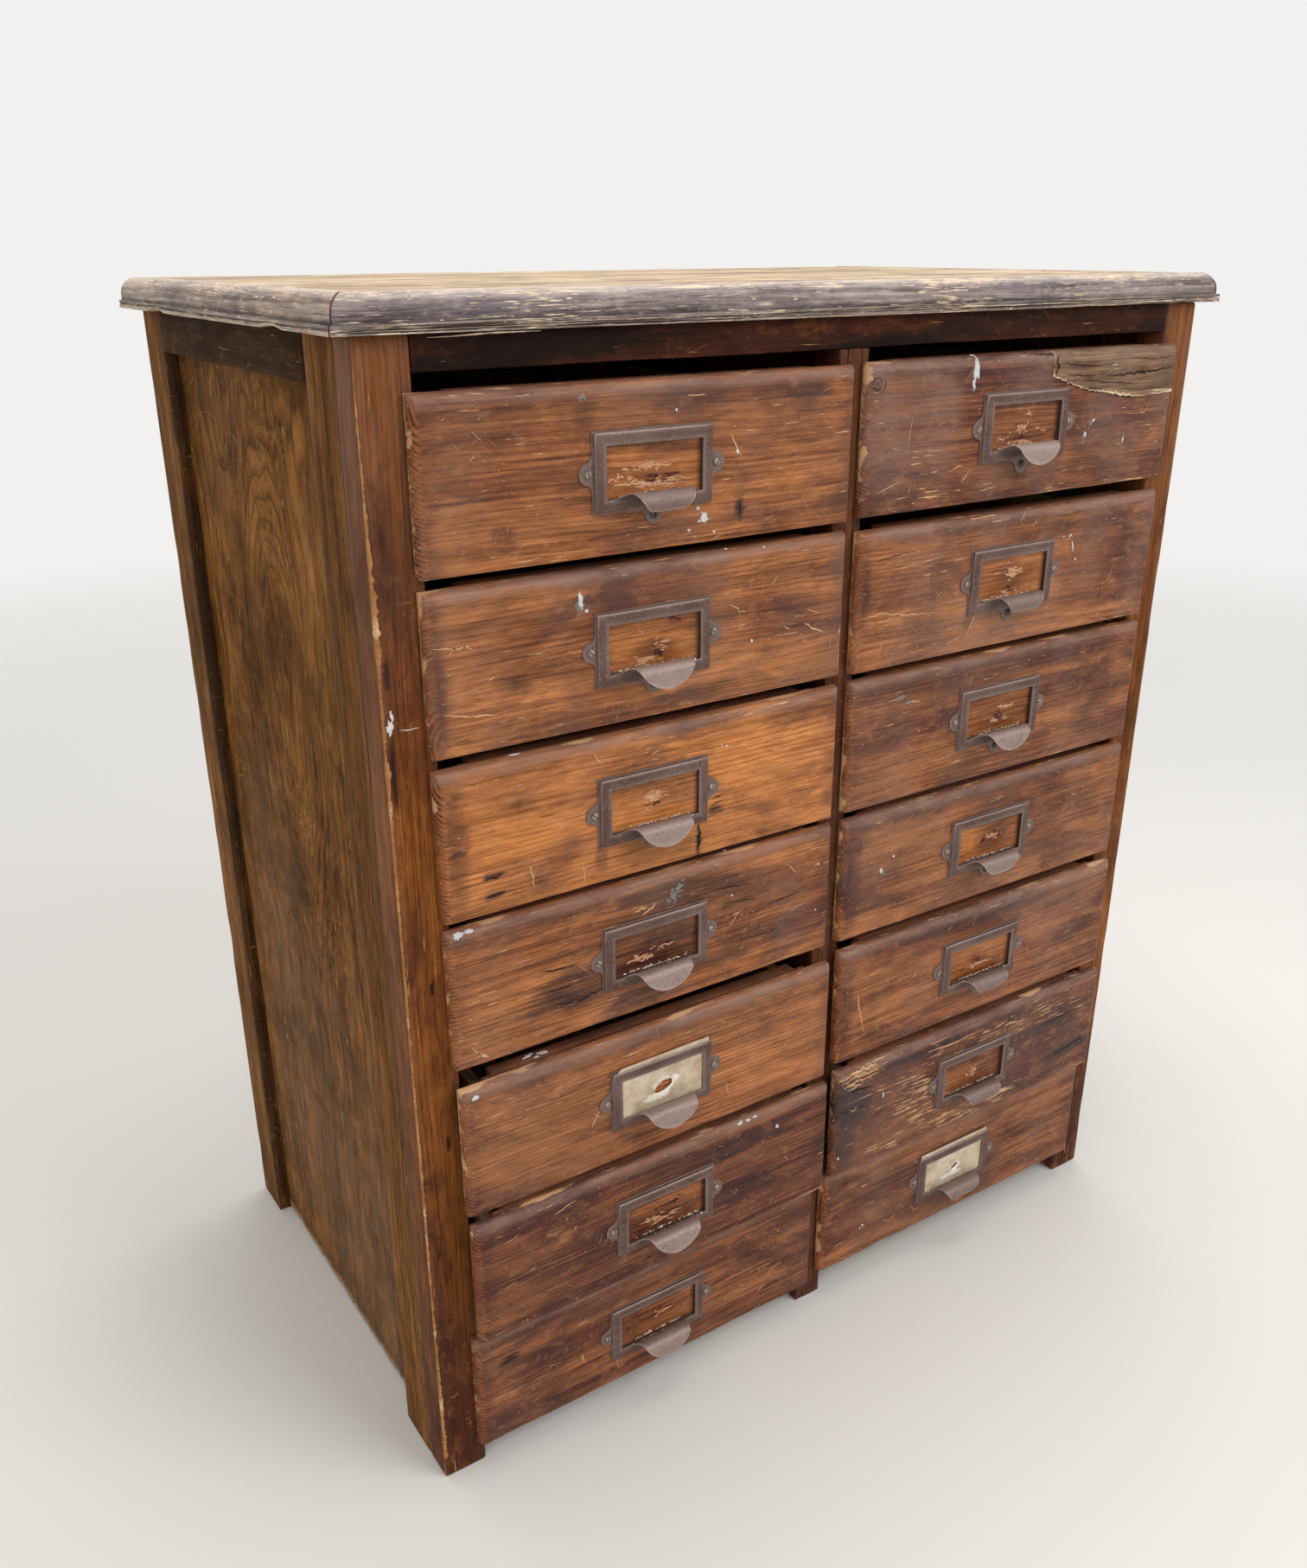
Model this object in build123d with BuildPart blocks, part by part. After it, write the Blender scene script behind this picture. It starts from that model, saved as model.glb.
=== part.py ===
from build123d import *
import os

# Drawer chest with two columns of seven drawers: a wooden carcass with posts and panelled sides, a
# top with a mitred moulding, rebated drawer fronts, and a pressed steel card frame with a curled
# finger leaf on each drawer. Millimetres. Z = 0 is the floor, X = 0 the middle of the front, and
# Y grows towards the back. Y = 0 is the middle of the whole depth.

# Carcass
body_width = 720.0
body_depth = 425.0
post_width = 35.0
post_depth = 28.0
post_round = 2.0
frame_thickness = 22.0  # stiles and side rails, across the side
front_stile_width = 45.5
rear_stile_width = 45.0
side_rail_height = 30.0
front_rail_height = 21.0
front_rail_thickness = 20.0
panel_thickness = 6.0
panel_recess = 11.0
panel_groove = 6.0
panel_floor_gap = 3.0
partition_thickness = 12.0
strip_width = 7.3  # upright strips on both sides of the partition's front edge
back_thickness = 6.0
back_recess = 4.0
back_rebate = 10.0

# Top
top_thickness = 22.0
side_overhang = 14.5
front_overhang = 9.2
rear_overhang = 9.0
moulding_width = 24.0
moulding_band = 6.0  # upright band at the moulding's foot
moulding_quirk = 2.2  # step in above the band
moulding_fillet = 1.5  # rise of that step
moulding_ovolo = 9.6  # reach of the rounded part
moulding_belly = 3.2  # how far it bulges from a straight line
top_board_count = 3

# Drawers
rows = 7
front_height = 105.0
drawer_gap = 8.2  # between the fronts of two rows
floor_gap = 23.0
head_gap = 9.8  # between the top drawer and the rail
front_overlap = 7.1  # what a front covers of the post
front_clearance = 0.3
lip_thickness = 8.0
board_thickness = 22.0
top_round = 7.0
edge_bevel = 2.0
side_gap = 13.0  # between the opening and the drawer's side
side_thickness = 9.0
side_lap = 10.0  # rebate in the front that takes the side
side_lift = 8.0  # from the front's lower edge to the side's
side_height = 82.0
bottom_thickness = 4.0
bottom_lift = 6.0
bottom_groove = 4.0
rear_clearance = 15.0

# How far each drawer stands open at rest, and how far its runners were set off the even spacing
open_at_rest = {"left": [1.0, 0.5, 0.5, 1.0, 8.0, 13.0, 0.5], "right": [0.5, 0.5, 0.5, 1.0, 5.0, 9.0, 0.5]}
set_off = {"left": [0.0, 1.0, 1.0, 3.0, -2.0, 0.0, 0.0], "right": [1.0, -1.0, 1.0, 2.0, 1.5, 2.0, 6.0]}

# How far each pull was fixed off the middle of its drawer front, sideways and upwards
pull_shift = {
    "left": [-1.5, -1.5, -1.5, -1.0, -0.5, 0.0, 0.0],
    "right": [-6.5, -5.0, -4.5, -1.0, -2.5, -0.5, -5.5],
}
pull_lift = {
    "left": [-1.0, -1.0, -1.0, -2.5, 1.0, -1.0, -3.0],
    "right": [1.0, 1.5, 1.0, 0.0, 1.0, -1.0, 0.0],
}

# Runners
runner_thickness = 12.0
fence_height = 18.0  # guide that stands beside the drawer
fence_clearance = 0.5
bearing_clearance = 0.3

# Pull: back plate, card frame and finger leaf
sheet = 1.0
frame_width = 88.0
frame_height = 48.6
frame_depth = 3.5
frame_border = 8.0
frame_bevel = 0.6
plate_margin = 1.0
ear_reach = 9.5
ear_waist = 3.0
ear_half_width = 11.4
ear_half_neck = 7.0
leaf_root = 34.0  # half widths of the leaf at its root, at its waist and at its crest
leaf_waist = 24.5
leaf_crest = 22.5
leaf_waist_out = 7.0  # from the drawer front to the waist
leaf_run = 3.0
leaf_rise_angle = 40.0
leaf_rise_radius = 13.0
leaf_crest_angle = 82.0
leaf_crest_radius = 4.5
leaf_fall = 11.0

# Paper cards, by column: row, tilt of the tear in degrees, and the tear's half length and half height
card_tears = {"left": (5, 20.0, 8.5, 4.0), "right": (7, 25.0, 5.0, 1.4)}
card_thickness = 0.4
card_clearance = 1.0
card_show = 4.0  # what stands above the frame
card_corner = 6.0

# Worked out
side_x = body_width / 2
row_pitch = front_height + drawer_gap
opening_width = (body_width - 2 * post_width - partition_thickness - 2 * strip_width) / 2
column_x = (partition_thickness + opening_width) / 2 + strip_width
front_width = opening_width + 2 * front_overlap
box_width = opening_width - 2 * side_gap
inner_width = box_width - 2 * side_thickness
rail_bottom = floor_gap + rows * front_height + (rows - 1) * drawer_gap + head_gap
carcass_height = rail_bottom + front_rail_height
face_y = -front_clearance - lip_thickness  # front of a closed drawer, from the posts' face
face_back_y = face_y + board_thickness
lap_y = face_back_y - side_lap
box_end_y = body_depth - back_recess - back_thickness - rear_clearance
side_top = side_lift + side_height
floor_bottom = side_lift + bottom_lift
floor_top = floor_bottom + bottom_thickness
pull_z = front_height / 2
aperture_width = frame_width - 2 * frame_border
aperture_height = frame_height - 2 * frame_border
plate_width = frame_width + 2 * plate_margin
plate_height = frame_height + 2 * plate_margin


def board(x_span, y_span, z_span):
    # A plain board between two values on each axis
    with BuildPart() as piece:
        with BuildSketch(Plane.XY.offset(z_span[0])):
            with Locations((sum(x_span) / 2, sum(y_span) / 2)):
                Rectangle(x_span[1] - x_span[0], y_span[1] - y_span[0])
        extrude(amount=z_span[1] - z_span[0])
    return piece.part


def write(pieces, node, place):
    # One file for each node; a node of several pieces keeps them as separate solids
    placed = [piece.moved(place) for piece in pieces]
    whole = placed[0] if len(placed) == 1 else Compound(children=placed)
    whole.label = node
    export_step(whole, "parts/" + node + ".step")


def on_the_right(piece):
    return mirror(piece, about=Plane.YZ)


# Finger leaf in side view: out and up from the frame's lower edge, over the crest and down to its end.
# Local x is the distance out from the drawer front, local y the height over the frame's middle.
leaf_plane = Plane(origin=(leaf_root, face_y, pull_z), x_dir=(0, -1, 0), z_dir=(-1, 0, 0))
leaf_start = (frame_depth - sheet / 3, -aperture_height / 2 - sheet)
with BuildPart() as leaf_strip:
    with BuildSketch(leaf_plane):
        with BuildLine():
            run = PolarLine(leaf_start, leaf_run, leaf_rise_angle)
            rise = JernArc(run @ 1, run % 1, leaf_rise_radius, -leaf_rise_angle)
            over = JernArc(rise @ 1, rise % 1, leaf_crest_radius, -leaf_crest_angle)
            fall = Line(over @ 1, (over @ 1) + (over % 1) * leaf_fall)
            offset(amount=sheet, side=Side.LEFT)
        make_face()
    extrude(amount=2 * leaf_root)
crest_out = (rise @ 1).X
crest_z = (rise @ 1).Y + sheet
leaf_front_y = leaf_strip.part.bounding_box().min.Y
leaf_end_z = (fall @ 1).Y + sheet / 2

# Seen from above, the leaf's sides flare in two cuts from its crest to the wide root.
# Seen from the front, the leaf ends in an arc.
with BuildPart() as leaf_outline:
    with BuildSketch(Plane.XY):
        with BuildLine():
            Polyline(
                (0, face_y),
                (leaf_root, face_y),
                (leaf_root, face_y - leaf_start[0]),
                (leaf_waist, face_y - leaf_waist_out),
                (leaf_crest, face_y - crest_out),
                (0, face_y - crest_out),
            )
            mirror(about=Plane.YZ)
        make_face()
    extrude(amount=front_height)
    with BuildSketch(Plane(origin=(0, face_y - crest_out, pull_z), x_dir=(1, 0, 0), z_dir=(0, -1, 0))):
        with BuildLine():
            tip = ThreePointArc((-leaf_crest, crest_z), (0, leaf_end_z), (leaf_crest, crest_z))
            Polyline(tip @ 1, (leaf_crest, crest_z + sheet), (-leaf_crest, crest_z + sheet), tip @ 0)
        make_face()
    extrude(amount=face_y - crest_out - leaf_front_y)
with BuildPart() as leaf:
    add(leaf_strip.part)
    add(leaf_outline.part, mode=Mode.INTERSECT)

# Whole depth, from the foremost leaf to the top's rear edge, set about Y = 0
widest_open = max(open_at_rest["left"] + open_at_rest["right"])
front_y = (widest_open - leaf_front_y - body_depth - rear_overhang) / 2
stile_y = front_y + post_depth
panel_front_y = stile_y + front_stile_width
rear_y = front_y + body_depth
panel_rear_y = rear_y - rear_stile_width
back_y = rear_y - back_recess - back_thickness


def front_post():
    with BuildPart() as post:
        with BuildSketch(Plane.XY):
            with Locations((post_width / 2 - side_x, front_y + post_depth / 2)):
                Rectangle(post_width, post_depth)
        extrude(amount=carcass_height)
        fillet(post.edges().filter_by(Axis.Z).group_by(Axis.Y)[0], post_round)
    return post.part


def stile(near_y, far_y, groove_y, rebate_depth):
    # Upright of the side frame, with the panel's groove and, at the back, a rebate for the back
    inner_x = frame_thickness - side_x
    with BuildPart() as upright:
        with BuildSketch(Plane.XY):
            with Locations((inner_x - frame_thickness / 2, (near_y + far_y) / 2)):
                Rectangle(frame_thickness, far_y - near_y)
            with Locations((panel_recess + panel_thickness / 2 - side_x, groove_y)):
                Rectangle(panel_thickness, panel_groove, mode=Mode.SUBTRACT)
            if rebate_depth > 0:
                with Locations((inner_x - back_rebate / 2, far_y - rebate_depth / 2)):
                    Rectangle(back_rebate, rebate_depth, mode=Mode.SUBTRACT)
        extrude(amount=carcass_height)
    return upright.part


def side_rail():
    with BuildPart() as rail:
        with BuildSketch(Plane.XZ.offset(-panel_rear_y)):
            with Locations((frame_thickness / 2 - side_x, carcass_height - side_rail_height / 2)):
                Rectangle(frame_thickness, side_rail_height)
            groove_z = carcass_height - side_rail_height + panel_groove / 2
            with Locations((panel_recess + panel_thickness / 2 - side_x, groove_z)):
                Rectangle(panel_thickness, panel_groove, mode=Mode.SUBTRACT)
        extrude(amount=panel_rear_y - panel_front_y)
    return rail.part


def side_panel():
    outer_x = panel_recess - side_x
    return board(
        (outer_x, outer_x + panel_thickness),
        (panel_front_y - panel_groove, panel_rear_y + panel_groove),
        (panel_floor_gap, carcass_height - side_rail_height + panel_groove),
    )


def centre_partition():
    # The partition is notched round the front rail; a strip stands on each side of its front edge
    half = partition_thickness / 2
    with BuildPart() as middle:
        with BuildSketch(Plane.YZ.offset(-half)):
            with BuildLine():
                Polyline(
                    (front_y, 0),
                    (back_y, 0),
                    (back_y, carcass_height),
                    (front_y + front_rail_thickness, carcass_height),
                    (front_y + front_rail_thickness, rail_bottom),
                    (front_y, rail_bottom),
                    close=True,
                )
            make_face()
        extrude(amount=partition_thickness)
    strip = board((-half - strip_width, -half), (front_y, stile_y), (0, rail_bottom))
    return [middle.part, strip, on_the_right(strip)]


def moulding_strip(plane, length):
    # Section: upright band, quirk, and an ovolo that runs up to the top's surface
    with BuildPart() as strip:
        with BuildSketch(plane):
            with BuildLine():
                shoulder = (moulding_quirk, moulding_band + moulding_fillet)
                crown = (moulding_quirk + moulding_ovolo, top_thickness)
                Polyline((0, 0), (0, moulding_band), (moulding_quirk, moulding_band), shoulder)
                SagittaArc(shoulder, crown, -moulding_belly)
                Polyline(crown, (moulding_width, top_thickness), (moulding_width, 0), (0, 0))
            make_face()
        extrude(amount=length)
    return strip


def top_moulding():
    # Front strip and two side strips, mitred at the front corners
    outer_x = side_x + side_overhang
    outer_y = front_y - front_overhang
    end_y = rear_y + rear_overhang
    front_plane = Plane(origin=(-outer_x, outer_y, carcass_height), x_dir=(0, 1, 0), z_dir=(1, 0, 0))
    side_plane = Plane(origin=(-outer_x, end_y, carcass_height), x_dir=(1, 0, 0), z_dir=(0, -1, 0))
    left_mitre = Plane(origin=(-outer_x, outer_y, carcass_height), z_dir=(1, -1, 0))
    right_mitre = Plane(origin=(outer_x, outer_y, carcass_height), z_dir=(-1, -1, 0))
    front_strip = moulding_strip(front_plane, 2 * outer_x)
    side_strip = moulding_strip(side_plane, end_y - outer_y)
    front_piece = split(split(front_strip.part, left_mitre, keep=Keep.TOP), right_mitre, keep=Keep.TOP)
    side_piece = split(side_strip.part, left_mitre, keep=Keep.BOTTOM)
    return [front_piece, side_piece, on_the_right(side_piece)]


def top_boards():
    start_y = front_y - front_overhang + moulding_width
    width = (rear_y + rear_overhang - start_y) / top_board_count
    half = side_x + side_overhang - moulding_width
    heights = (carcass_height, carcass_height + top_thickness)
    starts = [start_y + number * width for number in range(top_board_count)]
    return [board((-half, half), (start, start + width), heights) for start in starts]


def back_panel():
    half = side_x - frame_thickness + back_rebate
    return board((-half, half), (back_y, back_y + back_thickness), (panel_floor_gap, carcass_height))


def runner(wall, bearing_z):
    # L-shaped strip along one side of a drawer; wall is how far its fixing face is from the column's middle
    fence = box_width / 2 + fence_clearance
    foot = inner_width / 2
    with BuildPart() as strip:
        with BuildSketch(Plane.XZ.offset(-back_y)):
            with BuildLine():
                Polyline(
                    (-wall, bearing_z - runner_thickness),
                    (-foot, bearing_z - runner_thickness),
                    (-foot, bearing_z),
                    (-fence, bearing_z),
                    (-fence, bearing_z + fence_height),
                    (-wall, bearing_z + fence_height),
                    close=True,
                )
            make_face()
        extrude(amount=back_y - stile_y)
    return strip.part


def drawer_front():
    # Seen from above: a lip that covers the posts, the full board, and rebates that take the sides
    tail_depth = face_back_y - lap_y
    with BuildPart() as front:
        with BuildSketch(Plane.XY):
            with Locations((0, face_y + lip_thickness / 2)):
                lip = Rectangle(front_width, lip_thickness)
            chamfer(lip.vertices().group_by(Axis.Y)[0], edge_bevel)
            with Locations((0, (face_y + lap_y) / 2)):
                Rectangle(box_width, lap_y - face_y)
            with Locations((0, lap_y + tail_depth / 2)):
                Rectangle(inner_width, tail_depth)
        extrude(amount=front_height)
        long_edges = front.edges().filter_by(Axis.X).group_by(Axis.Y)[0].sort_by(Axis.Z)
        fillet(long_edges[-1], top_round)
        chamfer(long_edges[0], edge_bevel)
        with BuildSketch(Plane.YZ.offset(-inner_width / 2)):
            with Locations((face_back_y - bottom_groove / 2, (floor_bottom + floor_top) / 2)):
                Rectangle(bottom_groove, bottom_thickness)
        extrude(amount=inner_width, mode=Mode.SUBTRACT)
    return front.part


def drawer_box():
    # Two grooved sides, the back between them, and the bottom that slides under the back
    with BuildPart() as left_side:
        with BuildSketch(Plane.XZ.offset(-box_end_y)):
            with Locations(((side_thickness - box_width) / 2, side_lift + side_height / 2)):
                Rectangle(side_thickness, side_height)
            groove_x = -inner_width / 2 - bottom_groove / 2
            with Locations((groove_x, (floor_bottom + floor_top) / 2)):
                Rectangle(bottom_groove, bottom_thickness, mode=Mode.SUBTRACT)
        extrude(amount=box_end_y - lap_y)
    half = inner_width / 2
    back = board((-half, half), (box_end_y - side_thickness, box_end_y), (floor_top, side_top))
    floor_half = half + bottom_groove
    floor = board((-floor_half, floor_half), (face_back_y - bottom_groove, box_end_y), (floor_bottom, floor_top))
    return [left_side.part, on_the_right(left_side.part), back, floor]


def ear():
    # Screw ear of the back plate: it narrows from the plate's edge to a round tip
    with BuildSketch() as outline:
        with BuildLine():
            tip = ThreePointArc((ear_waist, ear_half_neck), (ear_reach, 0), (ear_waist, -ear_half_neck))
            Polyline(tip @ 1, (0, -ear_half_width), (0, ear_half_width), tip @ 0)
        make_face()
    return outline.sketch


def pull():
    # Back plate with three ears, card frame open at its top, and the leaf bent out of the frame
    plane = Plane(origin=(0, face_y, pull_z), x_dir=(1, 0, 0), z_dir=(0, -1, 0))
    ear_outline = ear()
    with BuildPart() as steel:
        with BuildSketch(plane):
            Rectangle(plate_width, plate_height)
            with Locations(
                Location((plate_width / 2, 0, 0)),
                Location((-plate_width / 2, 0, 0), (0, 0, 180)),
                Location((0, -plate_height / 2, 0), (0, 0, -90)),
            ):
                add(ear_outline)
        extrude(amount=sheet)
        with BuildSketch(plane.offset(sheet)):
            Rectangle(frame_width, frame_height)
        extrude(amount=frame_depth - sheet)
        chamfer(steel.faces().sort_by(Axis.Y)[0].edges(), frame_bevel)
        with BuildSketch(plane.offset(sheet)):
            with Locations((0, sheet)):
                Rectangle(frame_width - 2 * sheet, frame_height)
        extrude(amount=frame_depth - 2 * sheet, mode=Mode.SUBTRACT)
        with BuildSketch(plane):
            Rectangle(aperture_width, aperture_height)
        extrude(amount=frame_depth, mode=Mode.SUBTRACT)
        add(leaf.part)
    return steel.part


def card(tilt, tear_length, tear_height):
    # Paper card that stands in the frame, torn through in the middle
    pocket = frame_depth - 2 * sheet
    plane = Plane(
        origin=(0, face_y - sheet - (pocket - card_thickness) / 2, pull_z), x_dir=(1, 0, 0), z_dir=(0, -1, 0)
    )
    half = frame_width / 2 - sheet - card_clearance
    foot = sheet - frame_height / 2
    head = frame_height / 2 + card_show
    with BuildPart() as paper:
        with BuildSketch(plane):
            with BuildLine():
                Polyline(
                    (-half, foot),
                    (half, foot),
                    (half, head),
                    (card_corner - half, head),
                    (-half, head - card_show),
                    close=True,
                )
            make_face()
            Ellipse(tear_length, tear_height, rotation=tilt, mode=Mode.SUBTRACT)
        extrude(amount=card_thickness)
    return paper.part


os.makedirs("parts", exist_ok=True)
here = Location()

# Carcass, the left side first and the right side as its mirror image
rear_groove_y = panel_rear_y + panel_groove / 2
front_groove_y = panel_front_y - panel_groove / 2
side_pieces = {
    "front_post": front_post(),
    "front_stile": stile(stile_y, panel_front_y, front_groove_y, 0),
    "rear_stile": stile(panel_rear_y, rear_y, rear_groove_y, back_recess + back_thickness),
    "side_rail": side_rail(),
    "side_panel": side_panel(),
}
for name, piece in side_pieces.items():
    write([piece], "left_" + name, here)
    write([on_the_right(piece)], "right_" + name, here)

half_opening = side_x - post_width
rail_y = (front_y, front_y + front_rail_thickness)
write([board((-half_opening, half_opening), rail_y, (rail_bottom, carcass_height))], "front_top_rail", here)
write(centre_partition(), "centre_partition", here)
write([back_panel()], "back_panel", here)
write(top_moulding(), "top_moulding", here)
write(top_boards(), "top_boards", here)

# Drawers, row 1 at the top, and a pair of runners under each
front_piece = drawer_front()
box_pieces = drawer_box()
pull_piece = pull()
outer_wall = side_x - frame_thickness - column_x
inner_wall = column_x - partition_thickness / 2
runners = []
for side, direction in (("left", -1), ("right", 1)):
    for number in range(rows):
        z = floor_gap + (rows - 1 - number) * row_pitch + set_off[side][number]
        row = str(number + 1)
        place = Location((direction * column_x, front_y - open_at_rest[side][number], z))
        write([front_piece], side + "_" + row + "_front", place)
        write(box_pieces, side + "_" + row + "_box", place)
        pull_place = place * Location((pull_shift[side][number], 0, pull_lift[side][number]))
        write([pull_piece], side + "_" + row + "_pull", pull_place)
        bearing_z = z + side_lift - bearing_clearance
        column = Location((-column_x, 0, 0))
        outer_runner = runner(outer_wall, bearing_z).moved(column)
        inner_runner = on_the_right(runner(inner_wall, bearing_z)).moved(column)
        pair = [outer_runner, inner_runner]
        runners += pair if side == "left" else [on_the_right(strip) for strip in pair]
        card_row, tilt, tear_length, tear_height = card_tears[side]
        if number + 1 == card_row:
            write([card(tilt, tear_length, tear_height)], side + "_" + row + "_card", pull_place)
write(runners, "drawer_runners", here)
print("posts' face at y", round(front_y, 4), "whole height", carcass_height + top_thickness)
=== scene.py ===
import bpy
import bmesh
import math
import numpy as np
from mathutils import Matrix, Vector, noise
from mathutils.geometry import delaunay_2d_cdt


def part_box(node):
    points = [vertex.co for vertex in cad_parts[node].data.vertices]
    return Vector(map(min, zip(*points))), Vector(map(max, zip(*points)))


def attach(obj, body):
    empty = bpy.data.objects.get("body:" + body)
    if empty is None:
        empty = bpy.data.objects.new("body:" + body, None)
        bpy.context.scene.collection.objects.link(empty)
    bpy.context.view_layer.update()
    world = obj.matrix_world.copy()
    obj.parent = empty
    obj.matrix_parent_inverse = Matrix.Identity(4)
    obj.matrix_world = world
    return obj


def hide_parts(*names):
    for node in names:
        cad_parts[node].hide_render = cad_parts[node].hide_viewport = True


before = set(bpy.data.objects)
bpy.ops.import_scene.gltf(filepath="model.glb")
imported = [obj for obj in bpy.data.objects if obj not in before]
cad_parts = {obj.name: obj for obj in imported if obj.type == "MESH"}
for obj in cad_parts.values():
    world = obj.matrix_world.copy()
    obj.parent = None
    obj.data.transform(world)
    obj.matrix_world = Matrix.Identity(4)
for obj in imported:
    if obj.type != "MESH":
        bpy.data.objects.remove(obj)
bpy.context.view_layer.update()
scene = bpy.context.scene
mm = 0.001

# View, floor and light. The view stands a little left of the chest, at about its height.

view = {
    "place": (-0.64803, -0.93026, 0.88405),
    "turn": (67.0904, 0.18525, -33.4044),
    "lens": 31.19,
    "lift": 0.02034,
}

studio = {
    "floor": "e6e4e0",
    "floorHalf": 6,
    "sky": "f1eeea",
    "skyLevel": 0.5,
    "backdrop": "f2f1ef",
    "fade": (0.8, 3.4),  # from here outwards the floor runs into the backdrop
    "lamps": [  # place, size, watts, aimed at
        ((1.4, -2.6, 2.6), 2.2, 60, (0.0, -0.2, 0.45)),
        ((-1.9, -2.2, 1.9), 2.2, 20, (0.0, -0.1, 0.5)),
        ((0.1, 0.3, 2.9), 1.8, 44, (0.0, 0.0, 0.8)),
    ],
}

making = {}  # "tree" is the node tree that the next functions add to


def tone(code):
    # a colour as it looks on a screen, turned into the linear one that shaders take
    parts = [int(code[i:i + 2], 16) / 255 for i in (0, 2, 4)]
    return tuple(((c + 0.055) / 1.055) ** 2.4 if c > 0.04045 else c / 12.92 for c in parts) + (1.0,)


def join(source, target):
    making["tree"].links.new(source, target)


def put(kind, inputs=None, **settings):
    made = making["tree"].nodes.new("ShaderNode" + kind)
    for key, value in settings.items():
        setattr(made, key, value)
    for key, value in (inputs or {}).items():
        if isinstance(value, bpy.types.NodeSocket):
            join(value, made.inputs[key])
        else:
            made.inputs[key].default_value = value
    return made


def stretched(at, stretch):
    return put("Mapping", {"Vector": at, "Scale": stretch}).outputs[0]


def patches(at, stretch, detail=4.0, rough=0.6, warp=0.0):
    return put("TexNoise", {"Vector": stretched(at, stretch), "Scale": 1.0, "Detail": detail, "Roughness": rough,
                            "Distortion": warp}).outputs[0]


def between(value, low, high, start=0.0, end=1.0):
    return put("MapRange", {0: value, 1: low, 2: high, 3: start, 4: end}).outputs[0]


def sums(first, second, way="ADD"):
    return put("Math", {0: first, 1: second}, operation=way).outputs[0]


def less(first, second):
    return sums(first, second, "SUBTRACT")


def times(first, second):
    return sums(first, second, "MULTIPLY")


def greater(first, second):
    return second if first is None else sums(first, second, "MAXIMUM")


def vectors(first, second, way):
    return put("VectorMath", {0: first, 1: second}, operation=way).outputs[0]


def blendTone(amount, first, second, way="MIX"):
    return put("Mix", {0: amount, 6: first, 7: second}, data_type="RGBA", blend_type=way).outputs[2]


def painted(name):
    return put("Attribute", attribute_name=name).outputs["Fac"]


def newFinish(name):
    material = bpy.data.materials.new(name)
    material.use_nodes = True
    making["tree"] = material.node_tree
    return material, material.node_tree.nodes["Principled BSDF"]


def connect(shader, colour, roughness, height, strength, distance):
    bump = put("Bump", {"Height": height, "Strength": strength, "Distance": distance}).outputs[0]
    for source, socket in ((colour, "Base Color"), (roughness, "Roughness"), (bump, "Normal")):
        join(source, shader.inputs[socket])


def addObject(name, data, place=(0, 0, 0), turn=(0, 0, 0)):
    made = bpy.data.objects.new(name, data)
    made.location = place
    made.rotation_euler = turn
    scene.collection.objects.link(made)
    return made


def setStage():
    data = bpy.data.cameras.new("viewFromTheLeft")
    data.lens = view["lens"]
    data.shift_y = view["lift"]
    data.clip_start = 0.02
    scene.camera = addObject("viewFromTheLeft", data, view["place"], [math.radians(a) for a in view["turn"]])

    world = bpy.data.worlds.new("softSky")
    world.use_nodes = True
    making["tree"] = world.node_tree
    back = world.node_tree.nodes["Background"]
    back.inputs["Color"].default_value = tone(studio["sky"])
    back.inputs["Strength"].default_value = studio["skyLevel"]
    seen = put("Background", {"Color": tone(studio["backdrop"]), "Strength": 1.0})
    ray = put("LightPath").outputs
    shown = greater(ray["Is Camera Ray"], greater(ray["Is Glossy Ray"], ray["Is Transmission Ray"]))
    mixed = put("MixShader", {0: shown, 1: back.outputs[0], 2: seen.outputs[0]})
    join(mixed.outputs[0], world.node_tree.nodes["World Output"].inputs["Surface"])
    scene.world = world

    for place, size, watts, aim in studio["lamps"]:
        lamp = bpy.data.lights.new("softBox", "AREA")
        lamp.size = size
        lamp.energy = watts
        addObject("softBox", lamp, place, (Vector(aim) - Vector(place)).to_track_quat("-Z", "Y").to_euler())

    far = studio["floorHalf"]
    mesh = bpy.data.meshes.new("studioFloor")
    mesh.from_pydata([(-far, -far, 0), (far, -far, 0), (far, far, 0), (-far, far, 0)], [], [(0, 1, 2, 3)])
    paint, shader = newFinish("paleFloor")
    shader.inputs["Base Color"].default_value = tone(studio["floor"])
    shader.inputs["Roughness"].default_value = 0.85
    far = put("VectorMath", {0: put("TexCoord").outputs["Object"]}, operation="LENGTH").outputs["Value"]
    clear = put("BsdfTransparent")
    faded = put("MixShader", {0: between(far, *studio["fade"]), 1: shader.outputs[0], 2: clear.outputs[0]})
    join(faded.outputs[0], paint.node_tree.nodes["Material Output"].inputs["Surface"])
    mesh.materials.append(paint)
    addObject("studioFloor", mesh)
    scene.view_settings.view_transform = "Standard"


setStage()
print("stage set")

# Finishes. Marks painted on the meshes say where a wood is honey, plum, stained or darkened as painted shade,
# dusty or pale with a painted sheen, worn or flecked.

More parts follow.
